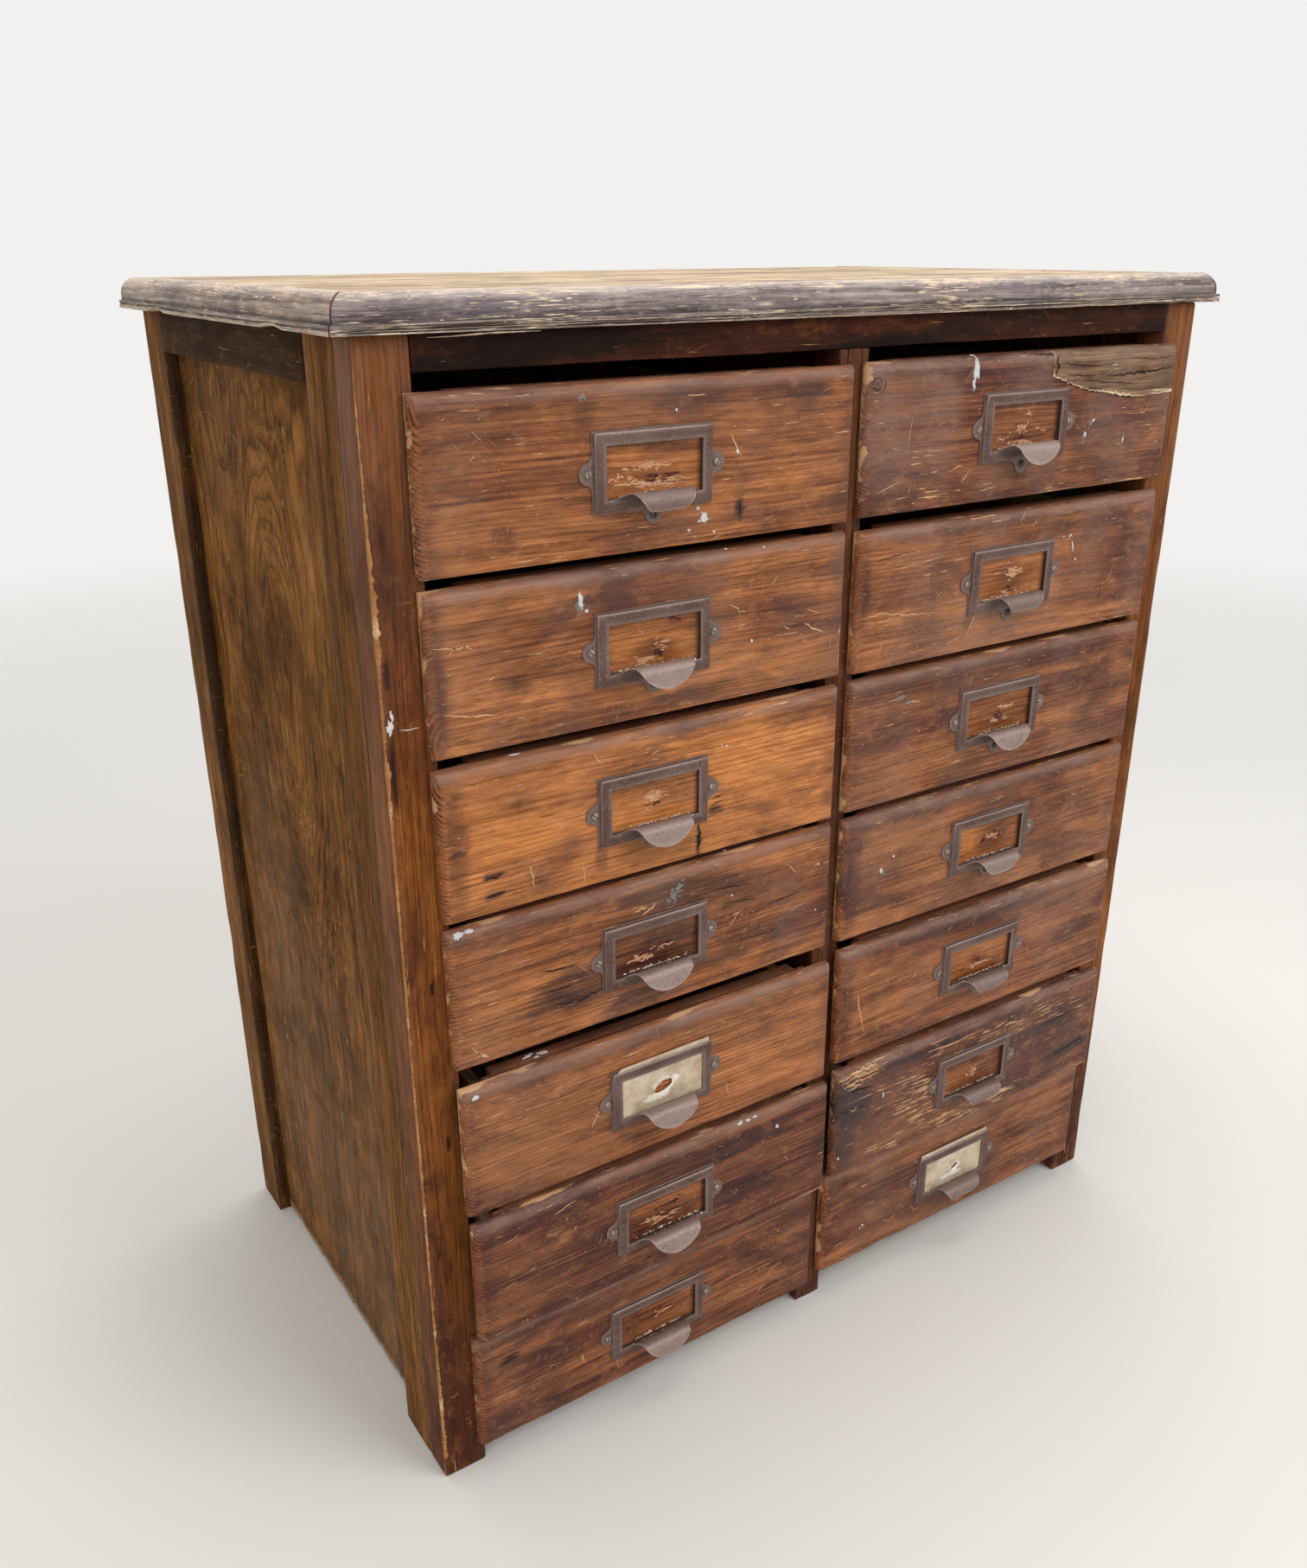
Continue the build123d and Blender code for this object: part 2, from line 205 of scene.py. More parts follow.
woods = {
    "frontWood": {
        "dark": "4e2012", "mid": "96522b", "light": "cd8a55", "honey": "dc8638", "deep": "26110b", "plum": "44211f",
        "raw": "d8aa7c", "stain": "1b161b", "dusty": "8f7064", "ringWave": 95.0, "ringShow": 0.55,
        "rough": (0.34, 0.58), "dashes": (38, 560, 560), "scratchShow": 0.3, "bump": 0.5, "specular": 0.24,
    },
    "carcassWood": {
        "dark": "4d2210", "mid": "7d431d", "light": "a3672f", "honey": "a05a16", "deep": "26110a", "plum": "43221a",
        "raw": "cd8d55", "stain": "140f0f", "dusty": "6d574e", "ringWave": 80.0, "ringShow": 0.5,
        "rough": (0.34, 0.58), "dashes": (30, 560, 560), "scratchShow": 0.2, "bump": 0.45, "specular": 0.05,
    },
    "sideWood": {
        "dark": "543619", "mid": "855627", "light": "a87643", "honey": "9c6322", "deep": "26170c", "plum": "402816",
        "raw": "b08e64", "stain": "1a1007", "dusty": "857263", "ringWave": 105.0, "ringShow": 0.8,
        "rough": (0.5, 0.7), "dashes": (30, 700, 700), "scratchShow": 0.35, "bump": 0.35, "specular": 0.02,
    },
    "topWood": {
        "dark": "8f755b", "mid": "cab08f", "light": "ecdabd", "honey": "c9a67c", "deep": "47372a", "plum": "9b8578",
        "raw": "f2e4ce", "stain": "2b2422", "dusty": "dccdba", "ringWave": 60.0, "ringShow": 0.4,
        "rough": (0.6, 0.85), "dashes": (30, 700, 700), "scratchShow": 0.2, "bump": 0.8, "specular": 0.12,
    },
    "mouldingWood": {
        "dark": "5c4c4c", "mid": "a3928f", "light": "d8c8bc", "honey": "c39a70", "deep": "261c1c", "plum": "584c56",
        "raw": "e8cfb2", "stain": "171012", "dusty": "c9bcb4", "ringWave": 90.0, "ringShow": 0.7,
        "rough": (0.4, 0.66), "dashes": (52, 950, 950), "scratchShow": 0.2, "bump": 0.9, "specular": 0.24,
    },
    "splitWood": {
        "dark": "4f3526", "mid": "836149", "light": "b59070", "honey": "a87a50", "deep": "2a1b14", "plum": "5c4336",
        "raw": "e6cfa8", "stain": "1f1613", "dusty": "9b8270", "ringWave": 95.0, "ringShow": 0.9,
        "rough": (0.6, 0.8), "dashes": (38, 560, 560), "scratchShow": 0.3, "bump": 0.9, "specular": 0.12,
    },
    "innerWood": {
        "dark": "6d4a2e", "mid": "92693f", "light": "ae8556", "honey": "a3743f", "deep": "38271a", "plum": "68503c",
        "raw": "c4a67f", "stain": "2e241c", "dusty": "8e755d", "ringWave": 60.0, "ringShow": 0.5,
        "rough": (0.6, 0.8), "dashes": (30, 700, 700), "scratchShow": 0.15, "bump": 0.4, "specular": 0.14,
    },
}


def ringWaves(at, scale, distortion, detailScale, profile):
    # rings round the grain's own line
    return put("TexWave", {"Vector": stretched(at, (0.05, 1.0, 1.0)), "Scale": scale, "Distortion": distortion,
                           "Detail": 3.0, "Detail Scale": detailScale},
               wave_type="RINGS", rings_direction="X", wave_profile=profile).outputs["Fac"]


def woodFinish(name, look, along=None):
    material, shader = newFinish(name)
    tones = {key: tone(code) for key, code in look.items() if isinstance(code, str)}
    if along is None:  # the grain's own coordinates, painted on the mesh
        at = put("Attribute", attribute_name="grain").outputs["Vector"]
    else:
        split = put("SeparateXYZ", {0: put("TexCoord").outputs["Object"]})
        order = {"Y": (1, 0, 2), "Z": (2, 0, 1)}[along]
        at = put("CombineXYZ", {i: split.outputs[o] for i, o in enumerate(order)}).outputs[0]
    swell = put("TexNoise", {"Vector": stretched(at, (5, 18, 18)), "Scale": 1.0, "Detail": 3.0}).outputs["Color"]
    swell = vectors(vectors(swell, (0.5, 0.5, 0.5), "SUBTRACT"), (0, 0.009, 0.009), "MULTIPLY")
    wavy = vectors(at, swell, "ADD")

    # growth rings run round the heart of the tree, so boards show lines and their ends show arcs
    rings = ringWaves(wavy, look["ringWave"], 1.6, 1.0, "SAW")
    ringDark = times(between(rings, 0.55, 1.0),
                     between(patches(at, (6, 30, 30), 2.0), 0.36, 0.62, 0.15, look["ringShow"]))
    fibre = patches(wavy, (9, 560, 560), 5.0, 0.72)
    bands = patches(wavy, (3, 75, 75), 4.0, 0.65)
    dashes = patches(wavy, (55, 1300, 1300), 2.0, 0.5)
    mottle = patches(at, (45, 75, 75), 8.0, 0.8)
    blotch = patches(at, (8, 20, 20), 5.0, 0.68, 0.5)
    smear = patches(at, (17, 52, 52), 6.0, 0.72, 0.8)
    ragged = patches(at, (38, 150, 150), 5.0, 0.72)
    colour = blendTone(between(sums(fibre, bands), 0.84, 1.08), tones["dark"], tones["mid"])

    def lay(amount, shade):
        nonlocal colour
        colour = blendTone(amount, colour, tones[shade])

    lay(times(between(bands, 0.46, 0.66), 0.6), "light")
    lay(between(fibre, 0.52, 0.68, 0.0, 0.55), "light")
    gold = blendTone(between(fibre, 0.4, 0.62), tones["honey"], tones["light"])
    colour = blendTone(times(painted("honey"), between(blotch, 0.3, 0.6, 1.0, 0.55)), colour, gold)
    lay(ringDark, "dark")
    shade = sums(between(blotch, 0.47, 0.7, 0.0, 0.75), painted("plum"))
    lay(between(sums(shade, between(mottle, 0.3, 0.7, -0.22, 0.22)), 0.0, 1.0, 0.0, 0.9), "plum")
    lay(between(fibre, 0.47, 0.33, 0.0, 0.6), "deep")
    lay(between(dashes, 0.55, 0.66, 0.0, 0.4), "deep")
    lay(between(mottle, 0.52, 0.7, 0.0, 0.4), "light")
    colour = blendTone(1.0, colour, between(smear, 0.32, 0.68, 0.66, 1.3), "MULTIPLY")
    uneven = sums(ringWaves(wavy, look["ringWave"] * 1.3, 5.5, 0.5, "SIN"), times(less(mottle, 0.5), 0.9))
    arcs = blendTone(between(uneven, 0.3, 0.75), tones["mid"], tones["deep"])
    colour = blendTone(times(painted("endGrain"), between(blotch, 0.35, 0.65, 0.25, 0.95)), colour, arcs)

    # painted marks: stains and painted shade, dust and a painted sheen on the rounded edges, worn arrises
    lay(times(between(sums(painted("stain"), less(ragged, 0.62)), 0.0, 0.72), 0.9), "stain")
    lay(times(times(painted("dusty"), between(ragged, 0.32, 0.6, 0.25, 1.0)), 0.8), "dusty")
    worn = between(sums(painted("worn"), less(ragged, 0.62)), 0.14, 0.3)
    lay(times(worn, 0.85), "raw")

    # flaked spots of two sizes, long with the grain, and fine scratches at three slants
    sparkle = vectors(at, swell, "SUBTRACT")
    chipped = None
    for stretch, reach in (((60, 190, 190), 0.42), ((210, 520, 520), 0.3)):
        cells = put("TexVoronoi", {"Vector": stretched(sparkle, stretch), "Scale": 1.0}).outputs
        chance = put("SeparateColor", {0: cells["Color"]}).outputs[0]
        size = times(less(sums(chance, painted("flecks")), 1.0), reach)
        size = sums(size, times(less(ragged, 0.5), reach * 0.8))
        chipped = greater(chipped, between(less(size, cells["Distance"]), 0.0, 0.05))
    dashed = sums(patches(wavy, look["dashes"], 3.0, 0.6), times(painted("flecks"), 0.24))
    chipped = greater(chipped, between(dashed, 0.70, 0.73))
    lay(times(chipped, 0.85), "raw")
    scraped = None
    for turn, shift in ((0.32, 1.0), (-0.75, 5.0), (1.25, 9.0)):
        slant = {"Vector": wavy, "Location": (shift, shift, shift), "Rotation": (0.0, turn, 0.0)}
        slanted = put("Mapping", slant).outputs[0]
        line = times(between(patches(slanted, (50, 90, 900), 1.0, 0.4), 0.71, 0.75),
                     between(patches(slanted, (16, 16, 16), 1.0), 0.55, 0.62))
        scraped = greater(scraped, line)
    lay(times(scraped, look["scratchShow"]), "raw")

    roughness = sums(between(blotch, 0.3, 0.7, *look["rough"]), times(worn, 0.2))
    relief = less(sums(times(fibre, 0.8), times(rings, 0.3)), times(dashes, 0.5))
    shader.inputs["Specular IOR Level"].default_value = look["specular"]
    connect(shader, colour, roughness, less(relief, sums(chipped, scraped)), look["bump"], 0.0006)
    return material


steels = {
    "pullSteel": {"body": "593f36", "rust": "4a2f25", "bright": "9f8b83", "rough": (0.42, 0.62)},
    "screwSteel": {"body": "7d6c60", "rust": "5c493d", "bright": "b4a89d", "rough": (0.34, 0.54)},
}
steelWear = {"pale": "b9a99b", "pit": "2e241e", "paintedShade": "2a211c", "metallic": 0.25, "bump": 0.45}


def steelFinish(name, look):
    material, shader = newFinish(name)
    at = put("TexCoord").outputs["Object"]
    cloud = patches(at, (90, 90, 90), 6.0, 0.7)
    pits = patches(at, (700, 700, 700), 3.0, 0.65)
    colour = blendTone(between(cloud, 0.38, 0.66), tone(look["body"]), tone(look["rust"]))
    # worn brightness, pale and dark pits, and painted shade where the screws are marked dark
    for amount, code in ((times(painted("worn"), between(cloud, 0.2, 0.5, 0.4, 1.0)), look["bright"]),
                         (between(pits, 0.58, 0.7, 0.0, 0.35), steelWear["pale"]),
                         (between(pits, 0.42, 0.32, 0.0, 0.6), steelWear["pit"]),
                         (times(painted("stain"), 0.9), steelWear["paintedShade"])):
        colour = blendTone(amount, colour, tone(code))
    shader.inputs["Metallic"].default_value = steelWear["metallic"]
    connect(shader, colour, between(cloud, 0.3, 0.7, *look["rough"]), sums(times(pits, 0.6), cloud),
            steelWear["bump"], 0.0003)
    return material


flatFinishes = {  # paper, paint, glue and torn wood: clean, aged, dirt and fluff
    "cardPaper": ("d6c7b0", "b39c80", "57432f", "f1e9dc"),
    "paintDrip": ("e3e1de", "b9bcc4", "77706c", "eceae8"),
    "glueCrumb": ("d6c9b6", "a89580", "6b5a49", "e6dccd"),
    "scrapedWood": ("d6a97f", "b98658", "7d5030", "e6c3a0"),
    "tornFibre": ("dba782", "bd8560", "8a5540", "edcaa6"),
    "paleSplinter": ("c7b19a", "a38a73", "6a5345", "e4d3be"),
    "wornEdge": ("b98352", "93602f", "5f3a1e", "dfb58a"),
    "darkStreak": ("1b1312", "2c1d17", "110c0b", "3b2a22"),
    "oldGlue": ("5a2c31", "422125", "2a1416", "744347"),
    "dampBloom": ("8a8a86", "6f6a66", "4a3a34", "a5a6a4"),
}


def flatFinish(name, look):
    clean, aged, dirt, fluffy = [tone(code) for code in look]
    material, shader = newFinish(name)
    at = put("TexCoord").outputs["Object"]
    cloud = patches(at, (60, 60, 60), 5.0, 0.65)
    fibre = patches(at, (800, 800, 500), 4.0, 0.7)
    fluff = between(sums(painted("worn"), less(fibre, 0.5)), 0.3, 0.6)
    colour = blendTone(fluff, blendTone(between(cloud, 0.35, 0.68), clean, aged), fluffy)
    colour = blendTone(between(fibre, 0.4, 0.3, 0.0, 0.6), colour, dirt)
    shader.inputs["Specular IOR Level"].default_value = 0.25
    connect(shader, colour, between(cloud, 0.3, 0.7, 0.82, 0.95), sums(fibre, times(fluff, 0.6)), 0.5, 0.0004)
    return material


finishes = {}
for looks, makeFinish in ((woods, woodFinish), (steels, steelFinish), (flatFinishes, flatFinish)):
    for name, look in looks.items():
        finishes[name] = makeFinish(name, look)
print("finishes made:", len(finishes))


def clamped(values, low=0.0, high=1.0):
    return np.clip(values, low, high)


def stack(parts):
    # several lofts as one mesh: points, faces and marks in one list each
    points, faces, marks = [], [], {}
    for some, quads, facts in parts:
        start = len(points)
        points += [tuple(p) for p in some]
        faces += [[i + start for i in quad] for quad in quads]
        for key, values in facts.items():
            marks.setdefault(key, []).append(np.asarray(values, np.float32))
    return points, faces, {key: np.concatenate(values) for key, values in marks.items()}


def makePiece(name, parts, body, material, sharp=34.0, node=None):
    # one mesh of several lofts, with one finish for all of it, or a finish for each face
    points, faces, marks = stack(parts)
    mesh = bpy.data.meshes.new(name)
    mesh.from_pydata(points, [], faces)
    tidy = bmesh.new()
    tidy.from_mesh(mesh)
    bmesh.ops.recalc_face_normals(tidy, faces=tidy.faces)
    tidy.to_mesh(mesh)
    tidy.free()
    for key, values in marks.items():
        kind, field = ("FLOAT_VECTOR", "vector") if values.ndim == 2 else ("FLOAT", "value")
        mesh.attributes.new(key, kind, "POINT").data.foreach_set(field, values.ravel())
    used = [material] if isinstance(material, str) else list(dict.fromkeys(material))
    for finish in used:
        mesh.materials.append(finishes[finish])
    if len(used) > 1:
        mesh.polygons.foreach_set("material_index", [used.index(finish) for finish in material])
    mesh.shade_smooth()
    mesh.set_sharp_from_angle(angle=math.radians(sharp))
    piece = addObject(name, mesh)
    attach(piece, body)
    if node:
        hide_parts(node)
    return piece


def carcassPiece(name, boards, material, node):
    makePiece(name, boards, "carcass", material, node=node)


def pieceName(key, part):
    return key.replace("_", "") + part


def skin(rings, closedAcross=True, closedAlong=False, caps=True):
    # quads over a grid of stations and section points
    rows, columns = rings.shape[:2]
    faces = []
    for i in range(rows if closedAlong else rows - 1):
        k = (i + 1) % rows
        for j in range(columns if closedAcross else columns - 1):
            n = (j + 1) % columns
            faces.append((i * columns + j, i * columns + n, k * columns + n, k * columns + j))
    if caps and closedAcross and not closedAlong:
        faces.append(tuple(range(columns))[::-1])
        faces.append(tuple((rows - 1) * columns + j for j in range(columns)))
    return rings.reshape(-1, 3), faces


def openStrip(rows, worn=0.0):
    points, faces = skin(np.array(rows), closedAcross=False, caps=False)
    return points, faces, {"worn": np.full(len(points), worn)}


def ripple(points, scale, seed=0.0):
    shift = seed * 3.17
    return np.array([noise.noise(Vector((x + shift, y - shift, z + 0.5 * shift)))
                     for x, y, z in (np.asarray(points).reshape(-1, 3) * scale)])


def wander(values, scale, seed):
    return np.array([noise.noise(Vector((v * scale, seed, 0.5 * seed))) for v in values])


def turned(u, v, angle):
    return u * math.cos(angle) - v * math.sin(angle), u * math.sin(angle) + v * math.cos(angle)


def grainMarks(points, along, seed, heart=(0.05, 0.12), lean=None):
    # first along the board, then across, with the heart of the tree off to one side
    rng = np.random.default_rng(int(seed * 7 + 13))
    others = [axis for axis in range(3) if axis != along]
    middle = points.mean(0)
    turn = rng.uniform(0, 2 * math.pi) if lean is None else rng.choice([-1, 1]) * math.radians(rng.uniform(*lean))
    far = rng.uniform(*heart)
    across = points[:, others[0]] - middle[others[0]] + far * math.cos(turn)
    up = points[:, others[1]] - middle[others[1]] + far * math.sin(turn)
    return np.stack([points[:, along] + rng.uniform(-4, 4), across, up], -1)


def spaced(low, high, step):
    return np.linspace(low, high, max(2, int(round((high - low) / step)) + 1))


def roundedSection(width, height, radius, step):
    # a rounded rectangle about its middle: points, outward normals and how near each is to a corner
    points, normals, corner = [], [], []
    w, h = width / 2 - radius, height / 2 - radius
    for k, (cx, cy) in enumerate(((w, h), (-w, h), (-w, -h), (w, -h))):
        for part in range(4):
            a = math.pi / 2 * (k + part / 3)
            n = (math.cos(a), math.sin(a))
            points.append((cx + radius * n[0], cy + radius * n[1]))
            normals.append(n)
            corner.append(1.0)
        way = (-n[1], n[0])
        reach = 2 * (w if k % 2 == 0 else h)
        count = max(1, int(round(reach / step)))
        for part in range(1, count):
            run = reach * part / count
            points.append((cx + radius * n[0] + way[0] * run, cy + radius * n[1] + way[1] * run))
            normals.append(n)
            corner.append(math.exp(-min(run, reach - run) / (4 * mm)))
    return np.array(points), np.array(normals), np.array(corner)


chipping = {"across": 90.0, "along": 22.0, "slow": 9.0}  # how closely chips and unevenness lie


def wornBoard(low, high, along, seed, radius=1.2 * mm, step=5 * mm, wear=0.8 * mm, uneven=0.15 * mm, honey=0.3):
    low, high = np.array(low, float), np.array(high, float)
    a, b = [axis for axis in range(3) if axis != along]
    size = high - low
    section, normals, corner = roundedSection(size[a], size[b], radius, step)
    runs = spaced(low[along] + radius, high[along] - radius, step)
    ends = [low[along], low[along] + radius * 0.3], [high[along] - radius * 0.3, high[along]]
    stations = np.concatenate([ends[0], runs, ends[1]])
    inset = np.concatenate([[radius, radius * 0.3], np.zeros(len(runs)), [radius * 0.3, radius]])
    rings = np.zeros((len(stations), len(section), 3))
    push = np.zeros_like(rings)
    flat = section[None] - normals[None] * inset[:, None, None]
    rings[..., a] = (low[a] + high[a]) / 2 + flat[..., 0]
    rings[..., b] = (low[b] + high[b]) / 2 + flat[..., 1]
    rings[..., along] = stations[:, None]
    push[..., a], push[..., b] = normals[:, 0], normals[:, 1]
    near = np.broadcast_to(corner, rings.shape[:2]).reshape(-1)
    at = rings.reshape(-1, 3)
    stretch = np.full(3, chipping["across"])
    stretch[along] = chipping["along"]
    chips = clamped(ripple(at, stretch, seed) - 0.05) * near
    slow = ripple(at, chipping["slow"], seed + 5) * 0.5
    shape = at - push.reshape(-1, 3) * (chips * wear + (slow + 0.5) * uneven)[:, None]
    points, faces = skin(shape.reshape(rings.shape))
    marks = {
        "grain": grainMarks(at, along, seed),
        "worn": clamped(near * 0.5 + chips * 0.9 + slow * 0.3 - 0.3),
        "honey": clamped(honey + slow * 0.5),
        "plum": np.zeros(len(at)),
        "stain": np.zeros(len(at)),
        "dusty": near * 0.25,
        "flecks": np.full(len(at), 0.05),
    }
    return points, faces, marks


def softSpots(points, dots):
    # soft ellipsoids about given middles: (x, y, z), (rx, ry, rz), strength
    total = np.zeros(len(points))
    for middle, size, strength in dots:
        far = (((points - np.array(middle)) / np.array(size)) ** 2).sum(1)
        total = np.maximum(total, strength * clamped(1.5 - far))
    return total


# Carcass: posts, side frames with their panels, top rail and middle partition

postLook = {
    "round": 2 * mm, "step": 3.5 * mm, "wear": 1.2 * mm, "uneven": 0.2 * mm,
    "paleAt": 0.38, "duskyFoot": 0.24, "dustFrom": 0.58,  # heights: honey's middle, how far up the foot is dark, dust
    "scars": [  # in from the outer face, height, half width, half height: old dents of the left post
        (0.0056, 0.6473, 0.0022, 0.0085), (0.0046, 0.5835, 0.0030, 0.0245), (0.0104, 0.2138, 0.0022, 0.0026),
        (0.0190, 0.4300, 0.0018, 0.0050), (0.0230, 0.3050, 0.0020, 0.0060),
    ],
    "arris": [  # height and width in mm of the pale strip along the outer arris, from the top down
        (0.815, 0.5), (0.78, 1.0), (0.74, 1.4), (0.705, 2.2), (0.685, 3.6), (0.665, 3.0), (0.65, 1.6), (0.63, 1.2),
        (0.612, 1.8), (0.60, 1.0), (0.585, 2.6), (0.56, 1.6), (0.53, 1.2), (0.45, 1.4), (0.38, 1.0), (0.30, 1.6),
        (0.2, 1.1), (0.1, 1.8), (0.02, 2.6),
    ],
    "paintFrom": 0.6, "paint": [(5.0, 14.0, 2.2, 4.5, 0), (6.5, 22.0, 1.2, 2.5, 10)],  # mm from the outer face
}


def frontPost(side):
    look = postLook
    low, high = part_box(side + "_front_post")
    points, faces, marks = wornBoard(low, high, 2, 11 if side == "left" else 12, look["round"], look["step"],
                                     look["wear"], look["uneven"])
    outer, inward = (low[0], 1) if side == "left" else (high[0], -1)
    x, y, z = points.T
    fromOuter = np.abs(x - outer)
    honey = 0.35 + 0.5 * np.exp(-((z - look["paleAt"]) / 0.2) ** 2) + 0.3 * (z > 0.6)
    marks["honey"] = clamped(honey + ripple(points, (7, 7, 4), 3) * 0.4)
    foot = np.exp(-(z / look["duskyFoot"]) ** 2)
    marks["plum"] = clamped(0.05 + 0.85 * foot + ripple(points, 9.0, 5) * 0.45, 0, 0.95)
    marks["dusty"] += 0.4 * clamped((z - look["dustFrom"]) / 0.2)
    marks["plum"][fromOuter < 1.5 * mm] *= 0.3
    arris = np.exp(-(np.hypot(x - outer, y - low[1]) - 0.0008) / 0.0017)
    marks["worn"] = clamped(marks["worn"] * 0.1 + arris * (0.1 + ripple(points, (60, 60, 38), 4) * 0.4))
    marks["flecks"] = clamped(0.02 + arris * 0.3 + clamped(0.06 - z) * 5, 0, 0.6)
    if side == "left":
        marks["stain"] = softSpots(points, [((outer + across * inward, low[1], up), (w, 0.004, h), 1.0)
                                            for across, up, w, h in look["scars"]])
    marks["stain"] += clamped(1 - fromOuter / (1.5 * mm)) * 0.3
    carcassPiece(side + "FrontPost", [(points, faces, marks)], "carcassWood", side + "_front_post")


def sideFrame(side):
    shift = 5 if side == "right" else 0
    for number, (part, along) in enumerate((("front_stile", 2), ("rear_stile", 2), ("side_rail", 1))):
        node = side + "_" + part
        low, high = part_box(node)
        board = wornBoard(low, high, along, 20 + number + shift, 1.2 * mm, 6 * mm, 1.2 * mm, 0.2 * mm, 0.25)
        points, _, marks = board
        marks["worn"] *= 0.4
        if part == "side_rail":
            # painted shadow: the rail lies under the top's overhang, so it gets more plum and a dark tone
            marks["plum"] += 0.9
            marks["dusty"] *= 0
            marks["stain"] += clamped(0.45 + ripple(points, (9, 9, 40), 6) * 0.5, 0, 0.65)
        if part == "rear_stile":
            # painted shade on the stile's face towards the front, at the step beside the panel
            marks["stain"] += np.exp(-(points[:, 1] - low[1]) / (1.5 * mm)) * 0.75
        carcassPiece(side + part.title().replace("_", ""), [board], "sideWood", node)


panelLook = {"teeth": 7 * mm, "across": 4 * mm, "up": 8 * mm, "heart": (0.02, 0.56), "heartSize": (0.075, 0.2)}


def sidePanel(side):
    # a thin sheet whose foot has splintered
    look = panelLook
    low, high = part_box(side + "_side_panel")
    ys, zs = spaced(low[1], high[1], look["across"]), spaced(low[2], high[2], look["up"])
    grid = np.zeros((2, len(zs), len(ys), 3))
    for layer, x in enumerate((low[0], high[0])):
        grid[layer, ..., 0] = x
        grid[layer, ..., 1] = ys[None]
        grid[layer, ..., 2] = zs[:, None]
    teeth = wander(ys, 130, 0.3) + wander(ys, 420, 0.7)
    grid[:, 0, :, 2] += clamped(teeth * 0.8)[None] * look["teeth"] + 0.5 * mm
    grid[:, 1, :, 2] = np.maximum(grid[:, 1, :, 2], grid[:, 0, :, 2] + 1 * mm)
    points, faces = skin(np.concatenate([grid[0], grid[1, :, ::-1]], axis=1))
    y, z = points[:, 1], points[:, 2]
    wave = ripple(points, (1.0, 14.0, 3.2), 9)
    (heartY, heartZ), (wide, tall) = look["heart"], look["heartSize"]
    hill = np.exp(-((y - heartY) / wide) ** 2 - ((z - heartZ) / tall) ** 2)
    figure = 0.03 * hill + 0.012 * wave + 0.003 * ripple(points, (1.0, 40.0, 14.0), 6)
    # painted shade along the rear stile and under the side rail
    shadeByFrame = np.exp((y - high[1]) / (14 * mm)) * 0.4 + np.exp((z - high[2]) / (14 * mm)) * 0.5
    marks = {
        "grain": np.stack([z, y * 0.25, points[:, 0] + 0.4 + figure], -1),
        "worn": clamped(1 - (z - 0.003) / 0.012) * 0.7,
        "honey": clamped(0.3 + wave * 0.6),
        "plum": clamped(ripple(points, (1.0, 9.0, 1.4), 2) * 0.9, 0, 0.5),
        "stain": clamped(0.5 - (z - 0.003) / 0.05 + shadeByFrame, 0, 0.7),
        "dusty": clamped(ripple(points, (1.0, 5.0, 1.6), 4) * 0.8 + (0.3 - z), 0, 0.5),
        "flecks": np.full(len(points), 0.1),
    }
    carcassPiece(side + "SidePanel", [(points, faces, marks)], "sideWood", side + "_side_panel")


def frontTopRail():
    low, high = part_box("front_top_rail")
    board = wornBoard(low, high, 0, 31, 1 * mm, 4 * mm, 1.2 * mm, 0.25 * mm, 0.0)
    points, _, marks = board
    # painted shadow from the moulding above: the whole rail is darkened with plum and a dark tone
    marks["plum"] += 1
    marks["stain"] = clamped(0.65 + ripple(points, (6, 30, 60), 6) * 0.9, 0.1, 0.9)
    marks["worn"] *= 0.2
    marks["dusty"] *= 0
    marks["flecks"] *= 0
    carcassPiece("frontTopRail", [board], "carcassWood", "front_top_rail")


partitionLook = {"halfThick": 6 * mm, "stripDeep": 28 * mm, "railDeep": 20 * mm}


def centrePartition():
    look, node = partitionLook, "centre_partition"
    low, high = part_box(node)
    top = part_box("front_top_rail")[0][2]  # the board is let in behind the top rail
    half = look["halfThick"]
    boards = [
        wornBoard((-half, low[1], 0), (half, high[1], top), 2, 41, 0.8 * mm, 9 * mm, 0.8 * mm),
        wornBoard((-half, low[1] + look["railDeep"], top), (half, high[1], high[2]), 2, 42, 0.4 * mm, 12 * mm,
                  0.3 * mm),
    ]
    for sign in (-1, 1):
        start, end = sorted((sign * half, sign * high[0]))
        boards.append(wornBoard((start, low[1], 0), (end, low[1] + look["stripDeep"], top), 2, 43 + sign, 1 * mm,
                                4 * mm, 1 * mm, 0.2 * mm, 0.4))
    for _, _, marks in boards:
        marks["plum"] += 0.75
        marks["honey"] *= 0.1
        marks["worn"] *= 0.25
    carcassPiece("centrePartition", boards, "carcassWood", node)


for side in ("left", "right"):
    frontPost(side)
    sideFrame(side)
    sidePanel(side)
frontTopRail()
centrePartition()


# Top: boards and mitred moulding

